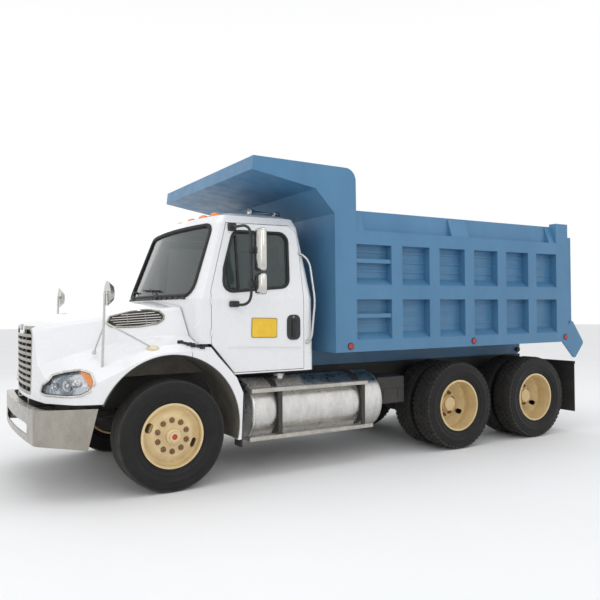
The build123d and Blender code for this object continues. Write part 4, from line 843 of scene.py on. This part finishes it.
# Seats: crowned pads over the CAD's plain ones

def pad(name, corners, length, place, crown, channels):
    """A padded form: a side outline swept across, bowed outwards between its edges and drawn in at channels."""
    shape = bmesh.new()
    face = shape.faces.new([shape.verts.new((x, -length / 2, z)) for x, z in corners])
    made = bmesh.ops.extrude_face_region(shape, geom=[face])
    far = [v for v in made["geom"] if isinstance(v, bmesh.types.BMVert)]
    bmesh.ops.translate(shape, verts=far, vec=(0, length, 0))
    bmesh.ops.recalc_face_normals(shape, faces=shape.faces)
    bmesh.ops.bevel(shape, geom=shape.edges[:], offset=0.028, offset_type="OFFSET", affect="EDGES", segments=3,
                    profile=0.5, material=-1)
    bmesh.ops.triangulate(shape, faces=[f for f in shape.faces if len(f.verts) > 4])
    bmesh.ops.subdivide_edges(shape, edges=[e for e in shape.edges if e.calc_length() > 0.05], cuts=7,
                              use_grid_fill=True)
    xs = [v.co.x for v in shape.verts]
    ys = [v.co.y for v in shape.verts]
    zs = [v.co.z for v in shape.verts]
    shape.normal_update()
    moves = []
    for v in shape.verts:
        share = [(c - min(r)) / (max(r) - min(r)) * 2 - 1 for c, r in zip(v.co, (xs, ys, zs))]
        weights = [1 - s * s for s in share]
        bow = crown * sorted(weights)[1] * (0.4 + 0.6 * max(weights))
        groove = sum(max(0.0, 1 - abs(share[1] - c) * 14) for c in channels)
        moves.append(v.normal * (bow - 0.006 * groove))
    for v, move in zip(shape.verts, moves):
        v.co += move
    bmesh.ops.transform(shape, matrix=place, verts=shape.verts)
    piece = from_bmesh(name, shape, seat_cloth, "chassis", flat=60)


cushion_side = [(-1.28, 1.405), (-0.835, 1.425), (-0.82, 1.49), (-0.85, 1.53), (-1.28, 1.51)]
back_side = [(-1.33, 1.50), (-1.215, 1.53), (-1.30, 2.13), (-1.365, 2.13), (-1.39, 2.08)]
shape = bmesh.new()
for side, sign in sides:
    middle = Matrix.Translation(at(0, sign * 520, 0))
    pad(f"seat_cushion_{side}", cushion_side, 0.48, middle, 0.012, (-0.55, 0.55))
    pad(f"seat_back_{side}", back_side, 0.46, middle, 0.012, (-0.5, 0.5))
    size, place = between((-1245, sign * 350, 1080), (-905, sign * 690, 1402))
    block(shape, size, place, 0.02, 2)
bases = from_bmesh("seat_bases", shape, black_plastic, "chassis")
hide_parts("seats")

# Camera, light and floor

turn, rise, lean = radians(149.16), radians(-0.79), radians(-0.47)
ahead = Vector((-sin(turn) * cos(rise), cos(turn) * cos(rise), -sin(rise)))
right = Vector((cos(turn), sin(turn), 0))
up = right.cross(ahead)
right, up = right * cos(lean) + up * sin(lean), up * cos(lean) - right * sin(lean)
lens = bpy.data.cameras.new("photograph_camera")
lens.lens = 39.465
lens.sensor_width = 36
lens.clip_end = 200
camera = bpy.data.objects.new("photograph_camera", lens)
scene.collection.objects.link(camera)
stance = Matrix((right, up, -ahead)).transposed().to_4x4()
camera.matrix_world = Matrix.Translation((4.3546, 6.8910, 1.6578)) @ stance
scene.camera = camera


def lamp(name, place, target, size, power):
    """A soft rectangular lamp turned to a point."""
    light = bpy.data.lights.new(name, "AREA")
    light.shape = "RECTANGLE"
    light.size, light.size_y = size
    light.energy = power
    holder = bpy.data.objects.new(name, light)
    scene.collection.objects.link(holder)
    way = Vector(target) - Vector(place)
    holder.matrix_world = Matrix.Translation(place) @ way.to_track_quat("-Z", "Y").to_matrix().to_4x4()


lamp("overhead", (0, 1, 9.0), (0, 0, 0), (12, 8), 260)
lamp("near_side", (4, 10, 6.0), (0, 0, 1.2), (9, 5), 110)
lamp("front", (10, 2, 4.0), (2, 0, 1.2), (5, 4), 50)
lamp("far_side", (-2, -9, 5.0), (0, 0, 1.2), (9, 5), 60)

world = bpy.data.worlds.new("studio")
scene.world = world
world.use_nodes = True
sky = world.node_tree
background = sky.nodes["Background"]
where = sky.nodes.new("ShaderNodeTexCoord")
split = sky.nodes.new("ShaderNodeSeparateXYZ")
ramp = sky.nodes.new("ShaderNodeValToRGB")
sky.links.new(where.outputs["Generated"], split.inputs["Vector"])
sky.links.new(split.outputs["Z"], ramp.inputs["Fac"])
sky.links.new(ramp.outputs["Color"], background.inputs["Color"])
ramp.color_ramp.elements[0].position = 0.38
ramp.color_ramp.elements[0].color = (1.0, 1.0, 1.0, 1)
ramp.color_ramp.elements[1].position = 0.75
ramp.color_ramp.elements[1].color = (0.84, 0.85, 0.87, 1)
background.inputs["Strength"].default_value = 1.0

shape = bmesh.new()
bmesh.ops.create_circle(shape, cap_ends=True, segments=64, radius=60)
mesh = bpy.data.meshes.new("floor")
shape.to_mesh(mesh)
shape.free()
floor = bpy.data.objects.new("floor", mesh)
scene.collection.objects.link(floor)
mesh.materials.append(finish("floor_sheet", (0.86, 0.86, 0.86), (0.84, 0.84, 0.84), 0.85, patch=0.5, bump=0.0))
scene.view_settings.view_transform = "Standard"
